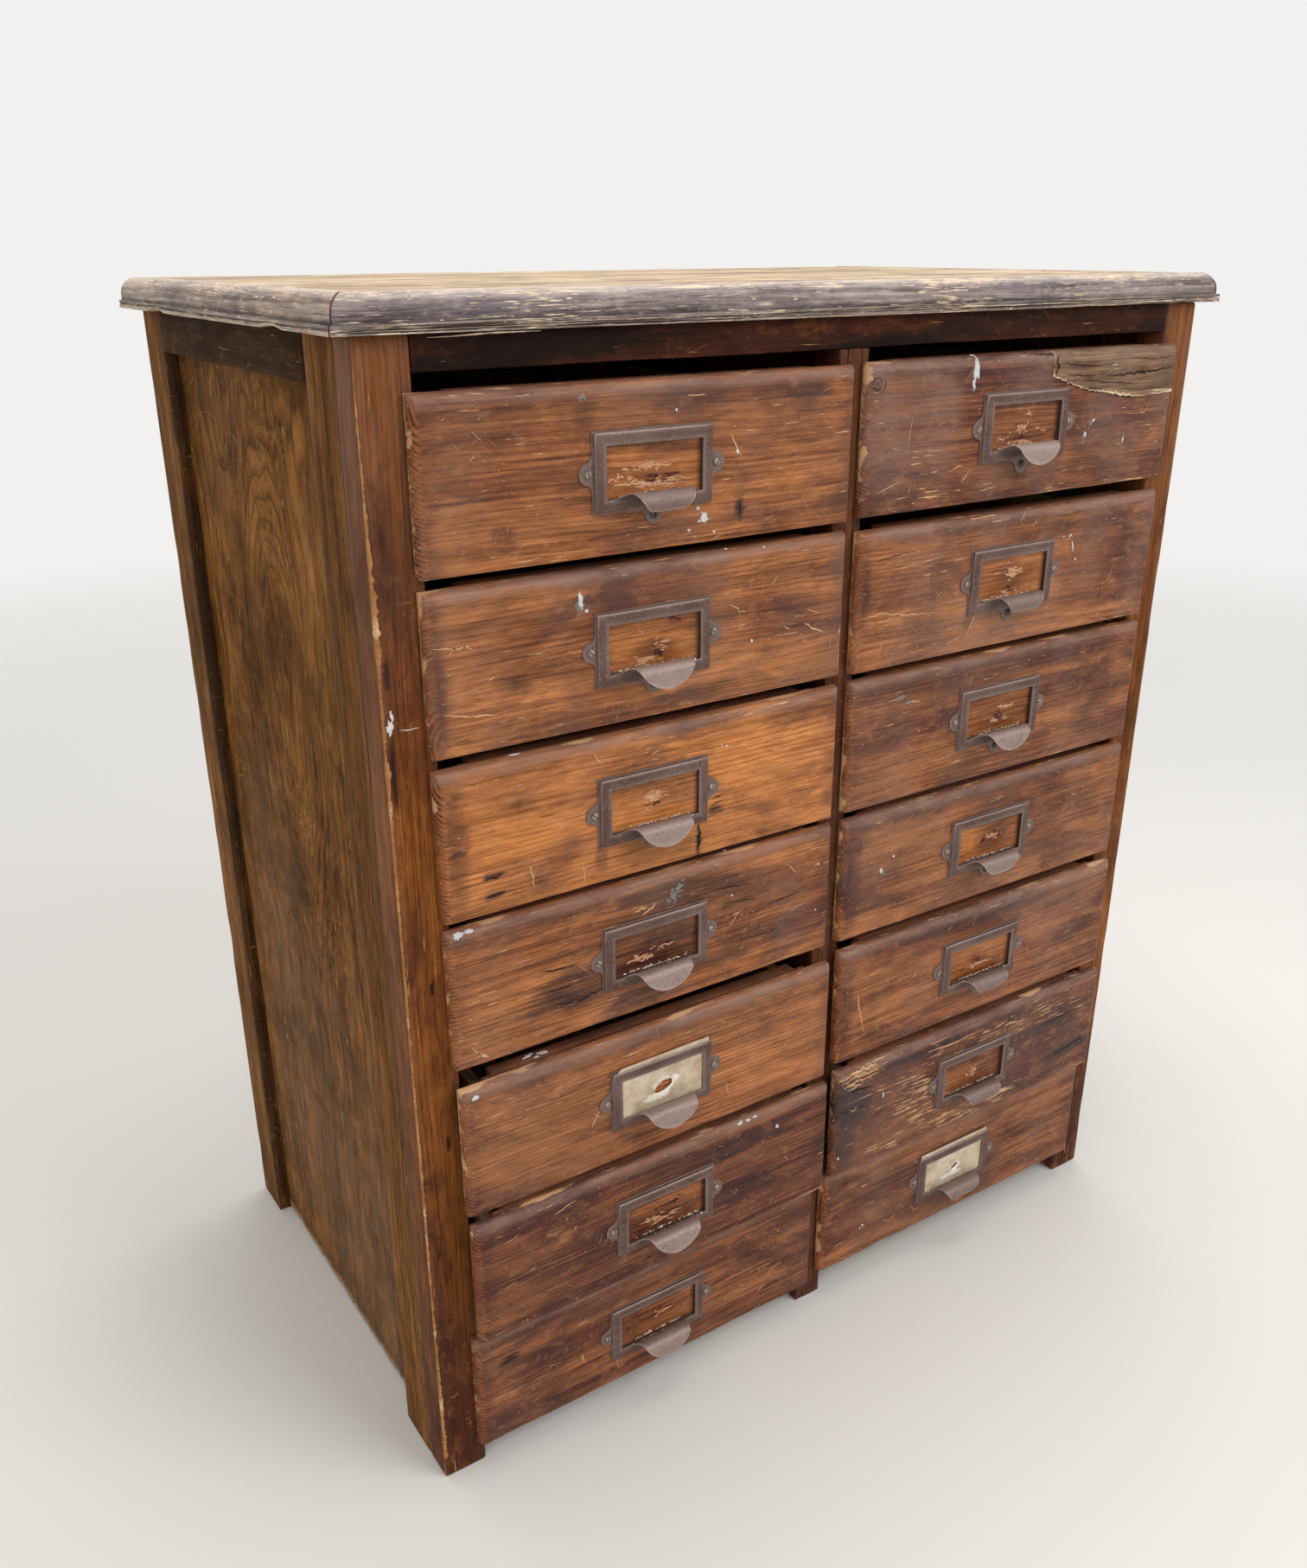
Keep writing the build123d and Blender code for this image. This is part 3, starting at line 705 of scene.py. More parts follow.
mouldingLook = {
    "band": 6 * mm, "quirk": 2.2 * mm, "rise": 1.5 * mm, "ovolo": 9.6 * mm, "thick": 22 * mm, "wide": 24 * mm,
    "belly": 3.2 * mm, "step": 4 * mm,
    "splits": [  # from and to as shares of the width, height and width in mm
        (0.01, 0.30, 3.0, 0.5), (0.04, 0.22, 4.4, 0.4), (0.10, 0.48, 1.8, 0.8), (0.24, 0.62, 4.2, 0.5),
        (0.5, 0.86, 2.8, 0.5), (0.6, 0.99, 4.6, 0.4), (0.8, 0.98, 1.6, 0.5), (0.02, 0.12, 1.4, 0.5),
        (0.34, 0.56, 3.2, 0.35),
    ],
    "slips": [  # pale slivers lifted off the lower band, in the same way; the first hangs below it
        (0.075, 0.17, -1.6, 1.1), (0.01, 0.26, 2.2, 0.9), (0.12, 0.44, 3.6, 0.9), (0.30, 0.66, 1.2, 0.8),
        (0.55, 0.93, 3.0, 0.8), (0.7, 0.99, 1.0, 0.7), (0.02, 0.2, 5.0, 0.6), (0.4, 0.6, 5.0, 0.5),
    ],
}
frontTone = {"worn": 0.16, "honey": 0.05, "plum": 0.38, "stain": 0.03, "dusty": 0.1}
sideTone = {"worn": 0.3, "honey": 0.95, "plum": 0.05, "stain": 0.2, "dusty": -0.2}


def mouldingSection():
    # distance in from the outer face and height over the top's underside, round the strip
    look = mouldingLook
    band, quirk, thick, wide = look["band"], look["quirk"], look["thick"], look["wide"]
    points = [(0, z) for z in np.linspace(0.3 * mm, band - 0.3 * mm, 9)]
    points += [(0.4 * mm, band), (quirk, band + 0.2 * mm), (quirk, band + look["rise"])]
    start, end = np.array(points[-1]), np.array((quirk + look["ovolo"], thick))
    chord = end - start
    bulge = np.array((-chord[1], chord[0])) / np.hypot(*chord)
    for f in np.arange(1, 14) / 13:
        points.append(tuple(start + chord * f + bulge * look["belly"] * 4 * f * (1 - f)))
    points += [(x, thick) for x in np.linspace(end[0] + 3 * mm, wide, 4)]
    points += [(wide, thick / 2), (wide, 0), (wide / 2, 0), (3 * mm, 0)]
    return np.array(points)


def mouldingStrip(place, runs, seed, base):
    look = mouldingLook
    section = mouldingSection()
    edge = np.roll(section, -1, 0) - np.roll(section, 1, 0)
    normal = np.stack([-edge[:, 1], edge[:, 0]], -1) / (np.hypot(edge[:, 0], edge[:, 1])[:, None] + 1e-9)
    rings = np.array([[place(run, d, h) for d, h in section] for run in runs])
    moved = np.array([[place(run, d, h) for d, h in section + normal * mm] for run in runs])
    push = (moved - rings) / mm
    deep, height = [np.broadcast_to(section[:, axis], rings.shape[:2]).reshape(-1) for axis in (0, 1)]
    along = np.repeat(np.asarray(runs), len(section))

    # the lower band has split along its length, and slivers of it are gone
    crackAt = (3.3 + 1.5 * wander(along, 9, seed)) * mm
    crack = np.exp(-np.abs(height - crackAt) / (0.5 * mm)) * (deep < 1 * mm)
    crack *= clamped(wander(along, 5, seed + 2) * 3 + 0.9)
    fibre = ripple(np.stack([along * 14, height * 240, deep * 240], -1), 1.0, seed)
    chips = clamped(fibre - 0.12) * (deep < look["wide"] - 1 * mm)
    missing = clamped(wander(along, 16, seed + 7) - 0.22)
    shape = rings.reshape(-1, 3) - push.reshape(-1, 3) * ((chips * 1.1 + crack * 1.3) * mm + 0.1 * mm)[:, None]
    shape[:, 2] += missing * 7 * mm * clamped(1 - height / (4 * mm))
    points, faces = skin(shape.reshape(rings.shape))
    crown = clamped((height - 17 * mm) / (4 * mm))
    lower = clamped(1 - height / (7 * mm))
    groove = np.exp(-np.abs(height - look["band"] - 0.8 * mm) / (0.8 * mm))
    marks = {
        "grain": np.stack([along + seed, deep + 0.03, height - 0.06], -1),
        "worn": clamped(chips * 0.5 + missing * 0.8 * lower + crown * 0.2 + lower * base["worn"], 0, 0.9),
        "honey": clamped(base["honey"] + lower * 0.5 + fibre * 0.3),
        "plum": clamped(base["plum"] + fibre * 0.7) * (1 - crown) * (1 - 0.8 * lower),
        "stain": clamped(crack * 1.4 + groove * 1.1 + base["stain"] * (1 - lower) * (1 - crown)),
        # the crown is painted pale: dust and a painted highlight
        "dusty": clamped(crown * 0.9 + base["dusty"] + fibre * 0.3),
        "flecks": clamped(0.42 + crown * 0.3 + lower * 0.25 + wander(along, 12, seed + 9) * 0.4, 0, 0.9),
    }
    return points, faces, marks


def topMoulding():
    look = mouldingLook
    low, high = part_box("top_moulding")
    width, depth = high[0] - low[0], high[1] - low[1]

    def alongFront(run, d, h):
        return (low[0] + d + (width - 2 * d) * run / width, low[1] + d, low[2] + h)

    def alongSide(edge, inward):
        return lambda run, d, h: (edge + inward * d, low[1] + d + (depth - d) * run / depth, low[2] + h)

    sideRuns = spaced(0, depth, look["step"])
    strips = [mouldingStrip(alongFront, spaced(0, width, look["step"]), 3.0, frontTone),
              mouldingStrip(alongSide(low[0], 1), sideRuns, 5.0, sideTone),
              mouldingStrip(alongSide(high[0], -1), sideRuns, 8.0, sideTone)]
    carcassPiece("topMoulding", strips, "mouldingWood", "top_moulding")

    # old glue shows at the two mitres, and the lower band has long splits with one sliver hanging out
    half = 0.5 * mm
    seams = [openStrip([[alongFront(run + shift, d - 0.25 * mm, h + (0.2 * mm if h > 15 * mm else 0))
                         for shift in (-half, half)] for d, h in mouldingSection()[:26]])
             for run in (half, width - half)]
    rng = np.random.default_rng(61)
    splits, slips = [], []
    for start, end, level, thick in look["splits"]:
        xs = spaced(start * width, end * width, 6 * mm)
        rise = level * mm + 0.5 * mm * wander(xs, 22, level) + 0.25 * mm * wander(xs, 90, level)
        taper = np.sin(np.linspace(0.15, math.pi - 0.15, len(xs))) ** 0.5
        wide = thick / 2 * mm * taper * rng.uniform(0.5, 1.2, len(xs))
        splits.append(openStrip([[alongFront(x, -0.12 * mm, h + sign * w) for sign in (1, -1)]
                                 for x, h, w in zip(xs, rise, wide)]))
    for start, end, level, thick in look["slips"]:
        xs = spaced(start * width, end * width, 3 * mm)
        drop = np.linspace(level, level + 0.8, len(xs)) * mm + 0.5 * mm * wander(xs, 30, level)
        taper = np.sin(np.linspace(0.1, math.pi - 0.1, len(xs))) ** 0.7
        wide = thick * mm * taper * rng.uniform(0.6, 1.1, len(xs))
        points, faces = skin(np.array([
            [alongFront(x, d * mm, h + z * w) for d, z in ((-0.4, 0), (0.3, 0.5), (1, 0), (0.3, -0.5))]
            for x, h, w in zip(xs, drop, wide)]))
        slips.append((points, faces, {"worn": clamped(0.2 + wander(points[:, 0], 40, 3), 0, 0.8)}))
    for name, parts, finish in (("mitreSeams", seams, "oldGlue"), ("mouldingSplits", splits, "darkStreak"),
                                ("mouldingSlivers", slips, "paleSplinter")):
        makePiece(name, parts, "carcass", finish, 60)


def topBoards():
    low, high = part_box("top_boards")
    edges = np.linspace(low[1], high[1], 4)
    gap = 0.3 * mm
    boards = []
    for k in range(3):
        board = wornBoard((low[0], edges[k] + gap, low[2]), (high[0], edges[k + 1] - gap, high[2]), 0, 51 + k,
                          1.6 * mm, 6 * mm, 1.6 * mm, 0.5 * mm, 0.3)
        points, _, marks = board
        line = ripple(points * (2.2, 120, 1), 1.0, 60 + k)
        marks["stain"] = (np.abs(line) < 0.035) * 0.8 * (points[:, 2] > high[2] - 2 * mm)
        marks["worn"] = clamped(marks["worn"] + ripple(points, (6, 40, 1), 3) * 0.5, 0, 0.8)
        marks["flecks"] += 0.1
        boards.append(board)
    carcassPiece("topBoards", boards, "topWood", "top_boards")


topMoulding()
topBoards()
for name, along in (("back_panel", "Z"), ("drawer_runners", "Y")):
    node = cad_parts[name]
    finish = woodFinish(pieceName(name, "Wood"), woods["innerWood"], along)
    for part in node.material_slots:
        part.material = finish
    if not node.material_slots:
        node.data.materials.append(finish)
print("carcass and top made")


# Drawer fronts. What the years left on each, in mm from its middle: x, z, half width, half height and strength. Its
# base is how honey, plum, flecked and dusty it is all over. Inside the card frame: how honey and plum the wood stayed
# there, and, counted from the frame's middle, bruises, slivers torn up with old labels and slivers of old glue, these
# two with how many of them.

frontLook = {
    "step": 3.5 * mm, "topRound": 7 * mm, "leftRound": 6.5 * mm, "rightRound": 4 * mm, "bottomBevel": 2 * mm,
    "lip": 8 * mm, "wear": 1.1 * mm, "height": 105 * mm, "opening": (36.5, 17.0), "half": (163, 52.5),
    "tail": 12 * mm, "tailHalf": 142.85, "tongueHalf": 133.85,
}

fronts = {
    "left_1": {
        "base": (0.42, 0.2, 0.06, 0.1),
        "honey": [(-80, -32, 80, 14, 0.5), (90, -28, 70, 12, 0.6), (100, 10, 50, 20, 0.3)],
        "plum": [(-90, 24, 70, 22, 0.4), (10, 40, 70, 10, 0.5), (-60, -8, 30, 16, 0.35), (0, -40, 60, 8, 0.4),
                 (140, 10, 16, 34, 0.3), (-96, 0, 66, 40, 0.38)],
        "stain": [(67, -33, 3.5, 8, 0.9), (-50, 36, 9, 9, 0.45), (124, 38, 22, 7, 0.4), (-109, -31, 9, 5, 0.5),
                  (4, 44, 40, 4, 0.4), (18, -38, 18, 6, 0.35)],
        "flecks": [(96, 10, 60, 30, 0.12)],
        "fresh": (0.7, 0.05), "bruise": [(2, 10, 14, 8, 0.45), (2, -5, 16, 5, 0.5)],
        "torn": [(-4, 2, 14, 3.5, 26), (2, -9, 30, 4, 26), (-24, -4, 8, 5, 7)],
        "glue": [(2, -4.5, 14, 1.2, 7), (-2, -7.5, 12, 1, 6)], "curl": 1.0,
    },
    "left_2": {
        "base": (0.5, 0.15, 0.06, 0.16),
        "honey": [(-90, -26, 60, 20, 0.5), (110, -24, 50, 18, 0.5), (-100, 20, 50, 16, 0.3)],
        "plum": [(0, 36, 70, 22, 0.75), (-158, 0, 8, 50, 0.7), (-50, -20, 24, 20, 0.3), (40, -40, 40, 8, 0.5),
                 (110, 30, 40, 10, 0.35), (100, 0, 50, 22, 0.35)],
        "stain": [(-40, 46, 20, 5, 0.4), (40, 42, 30, 4, 0.35), (20, -42, 24, 5, 0.4), (-104, -12, 12, 8, 0.35)],
        "flecks": [(-120, -10, 36, 30, 0.14), (118, -12, 36, 20, 0.14)],
        "fresh": (0.75, 0.1), "bruise": [(3, -6, 18, 9, 0.7), (16, 11, 10, 5, 0.6), (10, 10, 20, 6, 0.3)],
        "torn": [(-10, 7, 4, 2, 6), (-8, -11, 14, 4, 16), (4, -4, 16, 6, 12)],
        "glue": [(3, -8, 8, 3.5, 14), (16, 13, 7, 2, 7)],
    },
    "left_3": {
        "base": (0.95, 0.0, 0.05, 0.05),
        "honey": [(0, 0, 170, 60, 1.0)],
        "plum": [(-150, 0, 8, 40, 0.5), (-106, 20, 16, 8, 0.4), (60, 46, 60, 5, 0.3)],
        "stain": [(-127, -26, 8, 1.8, 1.0), (-126, -39, 8, 2, 1.0), (-106, 20, 7, 3, 0.5), (-150, -4, 6, 3, 0.7),
                  (52, -20, 7, 5, 0.7), (37, -40, 3, 12, 1.0), (-44, -33, 5, 14, 0.5)],
        "flecks": [(0, 40, 60, 8, 0.16)],
        "fresh": (1.0, 0.0),
        "torn": [(0, 4, 10, 7, 36), (-4, -6, 16, 2, 6)],
        "glue": [(1, -2, 9, 1.2, 5)],
    },
    "left_4": {
        "base": (0.42, 0.12, 0.08, 0.14),
        "honey": [(-110, -20, 60, 24, 0.5), (130, 20, 30, 26, 0.4), (-150, 30, 20, 16, 0.4)],
        "plum": [(0, 20, 70, 40, 0.5), (90, -20, 70, 24, 0.2), (-120, 42, 60, 8, 0.6)],
        "stain": [(-62, -14, 44, 13, 0.62), (-78, -26, 28, 8, 0.7), (44, 30, 56, 12, 0.5), (78, 20, 34, 14, 0.42),
                  (92, -20, 44, 10, 0.42), (58, -32, 24, 8, 0.5), (-10, -42, 36, 8, 0.6), (-4, 40, 34, 7, 0.6),
                  (0, 0, 46, 22, 0.5), (140, 4, 18, 7, 0.35), (-120, -30, 26, 8, 0.35)],
        "flecks": [(-20, 26, 50, 14, 0.2), (-130, -10, 40, 40, 0.15)],
        "fresh": (0.0, 0.6), "bruise": [(10, 6, 24, 10, 0.8)],
        "torn": [(-12, -6, 15, 4, 20), (2, -2, 14, 3, 9)],
        "glue": [(-6, -3, 20, 3, 12)],
    },
    "left_5": {
        "base": (0.5, 0.24, 0.05, 0.08),
        "honey": [(-110, -18, 60, 28, 0.4), (110, -16, 50, 26, 0.45)],
        "plum": [(-20, 44, 150, 8, 0.6), (100, 24, 50, 14, 0.4), (-158, 0, 8, 50, 0.4), (30, 34, 60, 10, 0.35)],
        "stain": [(93, 10, 16, 8, 0.35), (60, 26, 40, 5, 0.3), (20, 48, 90, 3, 0.4)],
        "flecks": [(-110, 30, 50, 16, 0.14)],
        "fresh": (0.5, 0.0),
    },
    "left_6": {
        "base": (0.0, 0.62, 0.04, 0),
        "honey": [(-130, -30, 40, 20, 0.5), (-90, 10, 40, 20, 0.2)],
        "plum": [(40, 20, 130, 34, 0.6), (60, -20, 80, 24, 0.5), (-60, 30, 60, 14, 0.4)],
        "stain": [(60, 30, 90, 8, 0.5), (70, -16, 50, 12, 0.4), (-20, 45, 60, 5, 0.5), (109, 33, 5, 5, 0.5)],
        "flecks": [(-110, 30, 50, 16, 0.12)],
        "fresh": (0.3, 0.3),
        "torn": [(-6, -6, 20, 6, 16)],
        "glue": [(8, 4, 20, 5, 10)],
    },
    "left_7": {
        "base": (0.1, 0.45, 0.05, 0.05),
        "honey": [(110, 0, 50, 30, 0.1), (-110, -20, 50, 20, 0.2)],
        "plum": [(-30, 40, 130, 8, 0.6), (-100, 10, 60, 26, 0.35), (20, -30, 60, 14, 0.35)],
        "stain": [(-135, 21, 11, 4, 0.7), (-60, 36, 60, 6, 0.35)],
        "flecks": [(110, -14, 30, 20, 0.14)],
        "fresh": (0.05, 0.35),
        "torn": [(4, 2, 14, 5, 8)],
        "glue": [(2, 4, 10, 4, 8)],
    },
    "right_1": {
        "base": (0.08, 0.48, 0.10, 0.34),
        "honey": [(-130, -34, 50, 12, 0.6), (-60, -38, 60, 8, 0.5), (100, -30, 50, 14, 0.25)],
        "plum": [(-60, 30, 100, 20, 0.6), (90, -6, 74, 34, 0.68), (-130, 0, 30, 30, 0.5), (0, -30, 50, 14, 0.3)],
        "stain": [(-156, 38, 6, 5, 0.7), (-138, -20, 6, 4, 0.5), (-100, 44, 60, 5, 0.35), (60, 40, 50, 4, 0.4)],
        "flecks": [(-120, -26, 40, 24, 0.16), (90, -10, 60, 24, 0.08), (-90, -40, 70, 8, 0.2)],
        "fresh": (0.35, 0.3),
        "torn": [(-2, -2, 7, 4.5, 28), (0, -12.5, 12, 2.5, 18), (-22, -8, 9, 3, 6), (20, -4, 10, 3, 5),
                 (2, 7, 8, 3, 5)],
        "glue": [(-2, -8.5, 5.5, 2.2, 14)],
    },
    "right_2": {
        "base": (0.5, 0.2, 0.07, 0.28),
        "honey": [(-90, -10, 80, 24, 0.4), (-130, -40, 40, 8, 0.5)],
        "plum": [(-30, 44, 140, 7, 0.6), (30, 32, 50, 12, 0.5), (104, 0, 60, 44, 0.6), (-158, 10, 8, 40, 0.6)],
        "stain": [(50, 34, 14, 8, 0.45), (-48, -30, 7, 5, 0.6), (10, 44, 60, 4, 0.4), (66, -30, 20, 8, 0.3)],
        "flecks": [(-100, -30, 60, 20, 0.14), (-39, 48, 16, 6, 0.3)],
        "fresh": (0.5, 0.15), "bruise": [(0, 0, 18, 12, 0.5)],
        "torn": [(0, 3, 12, 8, 32), (0, -12, 14, 3, 12)],
        "glue": [(-2, -8, 9, 1.4, 6), (2, -11, 12, 1, 5)], "curl": 1.0,
    },
    "right_3": {
        "base": (0.3, 0.3, 0.05, 0.16),
        "honey": [(-20, -34, 150, 12, 0.4), (110, -10, 40, 20, 0.25)],
        "plum": [(-20, 38, 160, 12, 0.8), (100, 0, 56, 34, 0.5), (-90, 10, 50, 20, 0.5), (20, -10, 60, 22, 0.35)],
        "stain": [(-10, 46, 120, 4, 0.5), (-60, 30, 30, 6, 0.35), (40, -30, 50, 5, 0.3)],
        "flecks": [(-110, 28, 24, 14, 0.18)],
        "fresh": (0.45, 0.12),
        "torn": [(4, -6, 14, 3, 14), (6, 4, 10, 3, 6)],
        "glue": [(4, -3, 16, 5, 9)],
    },
    "right_4": {
        "base": (0.45, 0.25, 0.04, 0.14),
        "honey": [(-20, 0, 100, 18, 0.3), (100, -20, 50, 16, 0.3)],
        "plum": [(-20, 44, 150, 8, 0.7), (-152, 0, 12, 44, 0.8), (90, 26, 60, 12, 0.4)],
        "stain": [(-158, 0, 8, 30, 0.5), (20, 46, 110, 4, 0.45), (-120, -26, 30, 10, 0.3)],
        "fresh": (0.85, 0.0), "bruise": [(2, 0, 18, 10, 0.3)],
        "torn": [(2, 0, 12, 6, 14)],
        "glue": [(2, -2, 14, 6, 10)], "curl": 0.4,
    },
    "right_5": {
        "base": (0.28, 0.3, 0.05, 0.18),
        "honey": [(-110, -10, 50, 30, 0.3), (20, 10, 50, 24, 0.2)],
        "plum": [(-20, 44, 150, 8, 0.7), (20, 34, 130, 14, 0.45), (120, 0, 40, 30, 0.45), (-155, 0, 10, 44, 0.6)],
        "stain": [(60, 42, 90, 5, 0.5), (110, -6, 30, 9, 0.35), (-20, 46, 100, 4, 0.45)],
        "fresh": (0.5, 0.2), "bruise": [(0, 0, 16, 8, 0.4)],
        "torn": [(0, -6, 16, 2.5, 16)],
        "glue": [(-2, -1, 12, 3, 6)], "curl": 0.9,
    },
    "right_6": {
        "base": (0.0, 0.62, 0.10, 0.1),
        "honey": [(-60, -30, 60, 12, 0.3), (110, 10, 40, 16, 0.2)],
        "plum": [(0, 0, 170, 60, 0.74), (100, 0, 60, 60, 0.92)],
        "stain": [(-146, 20, 22, 26, 0.95), (-150, -20, 12, 26, 0.7), (134, -22, 26, 7, 0.75), (80, 12, 60, 8, 0.6),
                  (-60, 40, 60, 5, 0.7), (40, 44, 60, 4, 0.55), (120, 24, 30, 6, 0.6), (30, -30, 30, 8, 0.4)],
        "flecks": [(-133, 42, 26, 9, 0.62), (-60, -10, 36, 30, 0.5), (-20, -42, 110, 8, 0.5), (40, 30, 110, 14, 0.44),
                   (-90, 12, 50, 16, 0.3)],
        "fresh": (0.3, 0.3),
        "torn": [(0, -2, 9, 6, 24)],
        "glue": [(0, -3, 5, 1.6, 9)], "curl": 0.9,
    },
    "right_7": {
        "base": (0.22, 0.42, 0.05, 0.12),
        "honey": [(110, 0, 50, 30, 0.25), (-90, -36, 70, 12, 0.35)],
        "plum": [(-40, 36, 110, 14, 0.5), (-150, 0, 14, 44, 0.5), (-100, -8, 30, 18, 0.4)],
        "stain": [(-70, 18, 50, 7, 0.35), (-130, 30, 30, 8, 0.35), (30, -40, 40, 6, 0.35)],
        "flecks": [(-120, -30, 44, 16, 0.1)],
        "fresh": (0.5, 0.0), "curl": 0.7,
    },
}
plainFront = {"flecks": [], "bruise": [], "torn": [], "glue": [], "curl": 0.0}  # unless the front says otherwise


def frontSection():
    # y from the front face and z from the lower edge, round the lip, with the rounded upper edge
    look = frontLook
    r, height, thick, bevel = look["topRound"], look["height"], look["lip"], look["bottomBevel"]
    points = [(thick, 0), (thick * 0.5, 0), (bevel, 0), (bevel * 0.3, 0.6 * mm)]
    points += [(0, z) for z in spaced(bevel, height - r, look["step"])]
    for a in np.arange(1, 9) * math.pi / 16:
        points.append((r - r * math.cos(a), height - r + r * math.sin(a)))
    points += [(thick, height), (thick, height * 0.66), (thick, height * 0.33)]
    return np.array(points)


def brushed(local, dots, seed, rag=0.5):
    # soft ellipses with ragged rims, drawn out along the grain
    total = np.zeros(len(local))
    for count, (x, z, w, h, strength) in enumerate(dots):
        sway = ripple(local, (0.02, 1.0, 0.07), seed + count * 3.3) + ripple(local, (0.06, 1.0, 0.3), seed + count)
        far = ((local[:, 0] - x) / w) ** 2 + ((local[:, 2] - z) / h) ** 2
        total = np.maximum(total, strength * clamped((1.45 - far + sway * rag) / 1.1))
    return total


def pullMiddle(key):
    low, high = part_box(key + "_pull")
    face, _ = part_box(key + "_front")
    return np.array([(low[0] + high[0]) / 2, face[1], high[2] - pullLook["plate"][1] * mm])


def frontMarks(key, number, shape, local, edge, chips, slow):
    # inside the card frame the varnish stayed fresh, and labels left torn fibres
    given = {**plainFront, **fronts[key]}
    halfTall, (wide, tall) = frontLook["half"][1], frontLook["opening"]
    across, inward, level = local.T
    pull = (shape - pullMiddle(key)) / mm
    inside = clamped((wide - np.abs(pull[:, 0])) / 3) * clamped((tall - np.abs(pull[:, 2])) / 3) * (inward < 3)
    stain = brushed(local, given["stain"], number, 0.6)
    stain = np.where(inside > 0, stain * (0.75 if key == "left_4" else 0.2), stain)
    honey, plum, flecks, film = given["base"]
    freshHoney, freshPlum = given["fresh"]
    ends = clamped((np.abs(across) - 146) / 14)  # the last bit on either side, mm from the middle
    leftEnd = clamped((-157 - across) / 3)  # sawn wood that shows on the left end
    roof = clamped((level - 50.0) / 2.0)
    crown = clamped((level - 43) / 4.0) * clamped((52.4 - level) / 2.0)  # the rounding, where dust has settled and a painted sheen lies
    smear = clamped(0.9 + slow * 2 + ripple(shape, (26, 1, 9), number + 8) * 2.4, 0, 2.2)
    honey = np.maximum(honey + slow * 0.3, brushed(local, given["honey"], number + 40))
    plum = np.maximum(plum + slow * 0.3, brushed(local, given["plum"], number + 60))
    bruise = np.maximum(freshPlum, brushed(pull, given["bruise"], number + 20))
    flecks = flecks + brushed(local, given["flecks"], number + 80)
    return {
        "grain": grainMarks(shape, 0, number + 70, (0.06, 0.10), (35, 70)),
        "worn": clamped(edge * 0.34 + chips * 0.9 + slow * 0.15 - 0.16),
        "honey": clamped(honey * (1 - inside) + inside * freshHoney),
        "plum": clamped(plum * (1 - inside) + inside * bruise + ends * 0.3 - leftEnd * 0.5),
        "stain": clamped(stain + roof * 0.2 + np.exp(-(level + halfTall) / 1.5) * 0.3),
        # the crown's pale band is dust and a painted sheen; the roof and the film are dust
        "dusty": clamped(crown * 0.75 + roof * 0.3 + film * (1 - inside) * smear),
        "endGrain": leftEnd * (0.9 if key.startswith("left") else 0.45),
        "flecks": clamped(flecks + edge * 0.2 - inside * 0.1),
    }


def drawerFront(key, number):
    low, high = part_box(key + "_front")
    look = frontLook
    halfWide, halfTall = look["half"]
    section = frontSection()
    left, right = look["leftRound"], look["rightRound"]
    angles = np.linspace(0, math.pi / 2, 6)[:-1]
    xs = np.concatenate([low[0] + left * (1 - np.cos(angles)), spaced(low[0] + left, high[0] - right, look["step"]),
                         (high[0] - right * (1 - np.cos(angles)))[::-1]])
    back = np.concatenate([left * (1 - np.sin(angles)), np.zeros(len(xs) - 10), (right * (1 - np.sin(angles)))[::-1]])
    rings = np.zeros((len(xs), len(section), 3))
    rings[..., 0] = xs[:, None]
    rings[..., 1] = low[1] + np.maximum(section[None, :, 0], back[:, None])
    rings[..., 2] = low[2] + section[None, :, 1]
    shape = rings.reshape(-1, 3)
    middle = np.array([(low[0] + high[0]) / 2, low[1], (low[2] + high[2]) / 2])
    local = (shape - middle) / mm
    across, inward, level = local.T
    rim = np.minimum(np.minimum(halfWide - np.abs(across), level + halfTall), halfTall - level)
    edge = np.exp(-rim / 3.2)
    chips = clamped(ripple(shape, (24, 90, 90), number) - 0.1) * edge
    slow = ripple(shape, 8.0, number + 30)
    marks = frontMarks(key, number, shape, local, edge, chips, slow)
    shape = shape.copy()
    shape[:, 1] += clamped(1 - inward / 7.0) * (chips * look["wear"] * 1.2 + (slow + 0.6) * 0.18 * mm)
    shape[:, 2] += np.where(level < -49, 1, np.where(level > 49, -1, 0)) * chips * look["wear"] * 0.7
    points, faces = skin(shape.reshape(rings.shape))
    boards = [(points, faces, marks)]
    tail = (low[1] + look["lip"], low[1] + look["tail"], high[1])
    for half, near, far in ((look["tailHalf"], *tail[:2]), (look["tongueHalf"], *tail[1:])):
        start = (middle[0] - half * mm, near, low[2] + 0.2 * mm)
        end = (middle[0] + half * mm, far, high[2] - 0.4 * mm)
        board = wornBoard(start, end, 0, number + 90, 0.3 * mm, 16 * mm, 0.2 * mm, 0.05 * mm, 0.2)
        board[2]["endGrain"] = board[2]["stain"] * 0
        board[2]["plum"] += 0.5
        board[2]["stain"] += 0.2
        board[2]["worn"] *= 0.2
        boards.append(board)
    body = key.replace("_", "_drawer_")
    makePiece(pieceName(key, "Front"), boards, body, "frontWood", node=key + "_front")
    return middle, body


boxLook = {"side": 9 * mm, "floorFrom": 6 * mm, "floorTo": 10 * mm, "behindFront": 10 * mm}


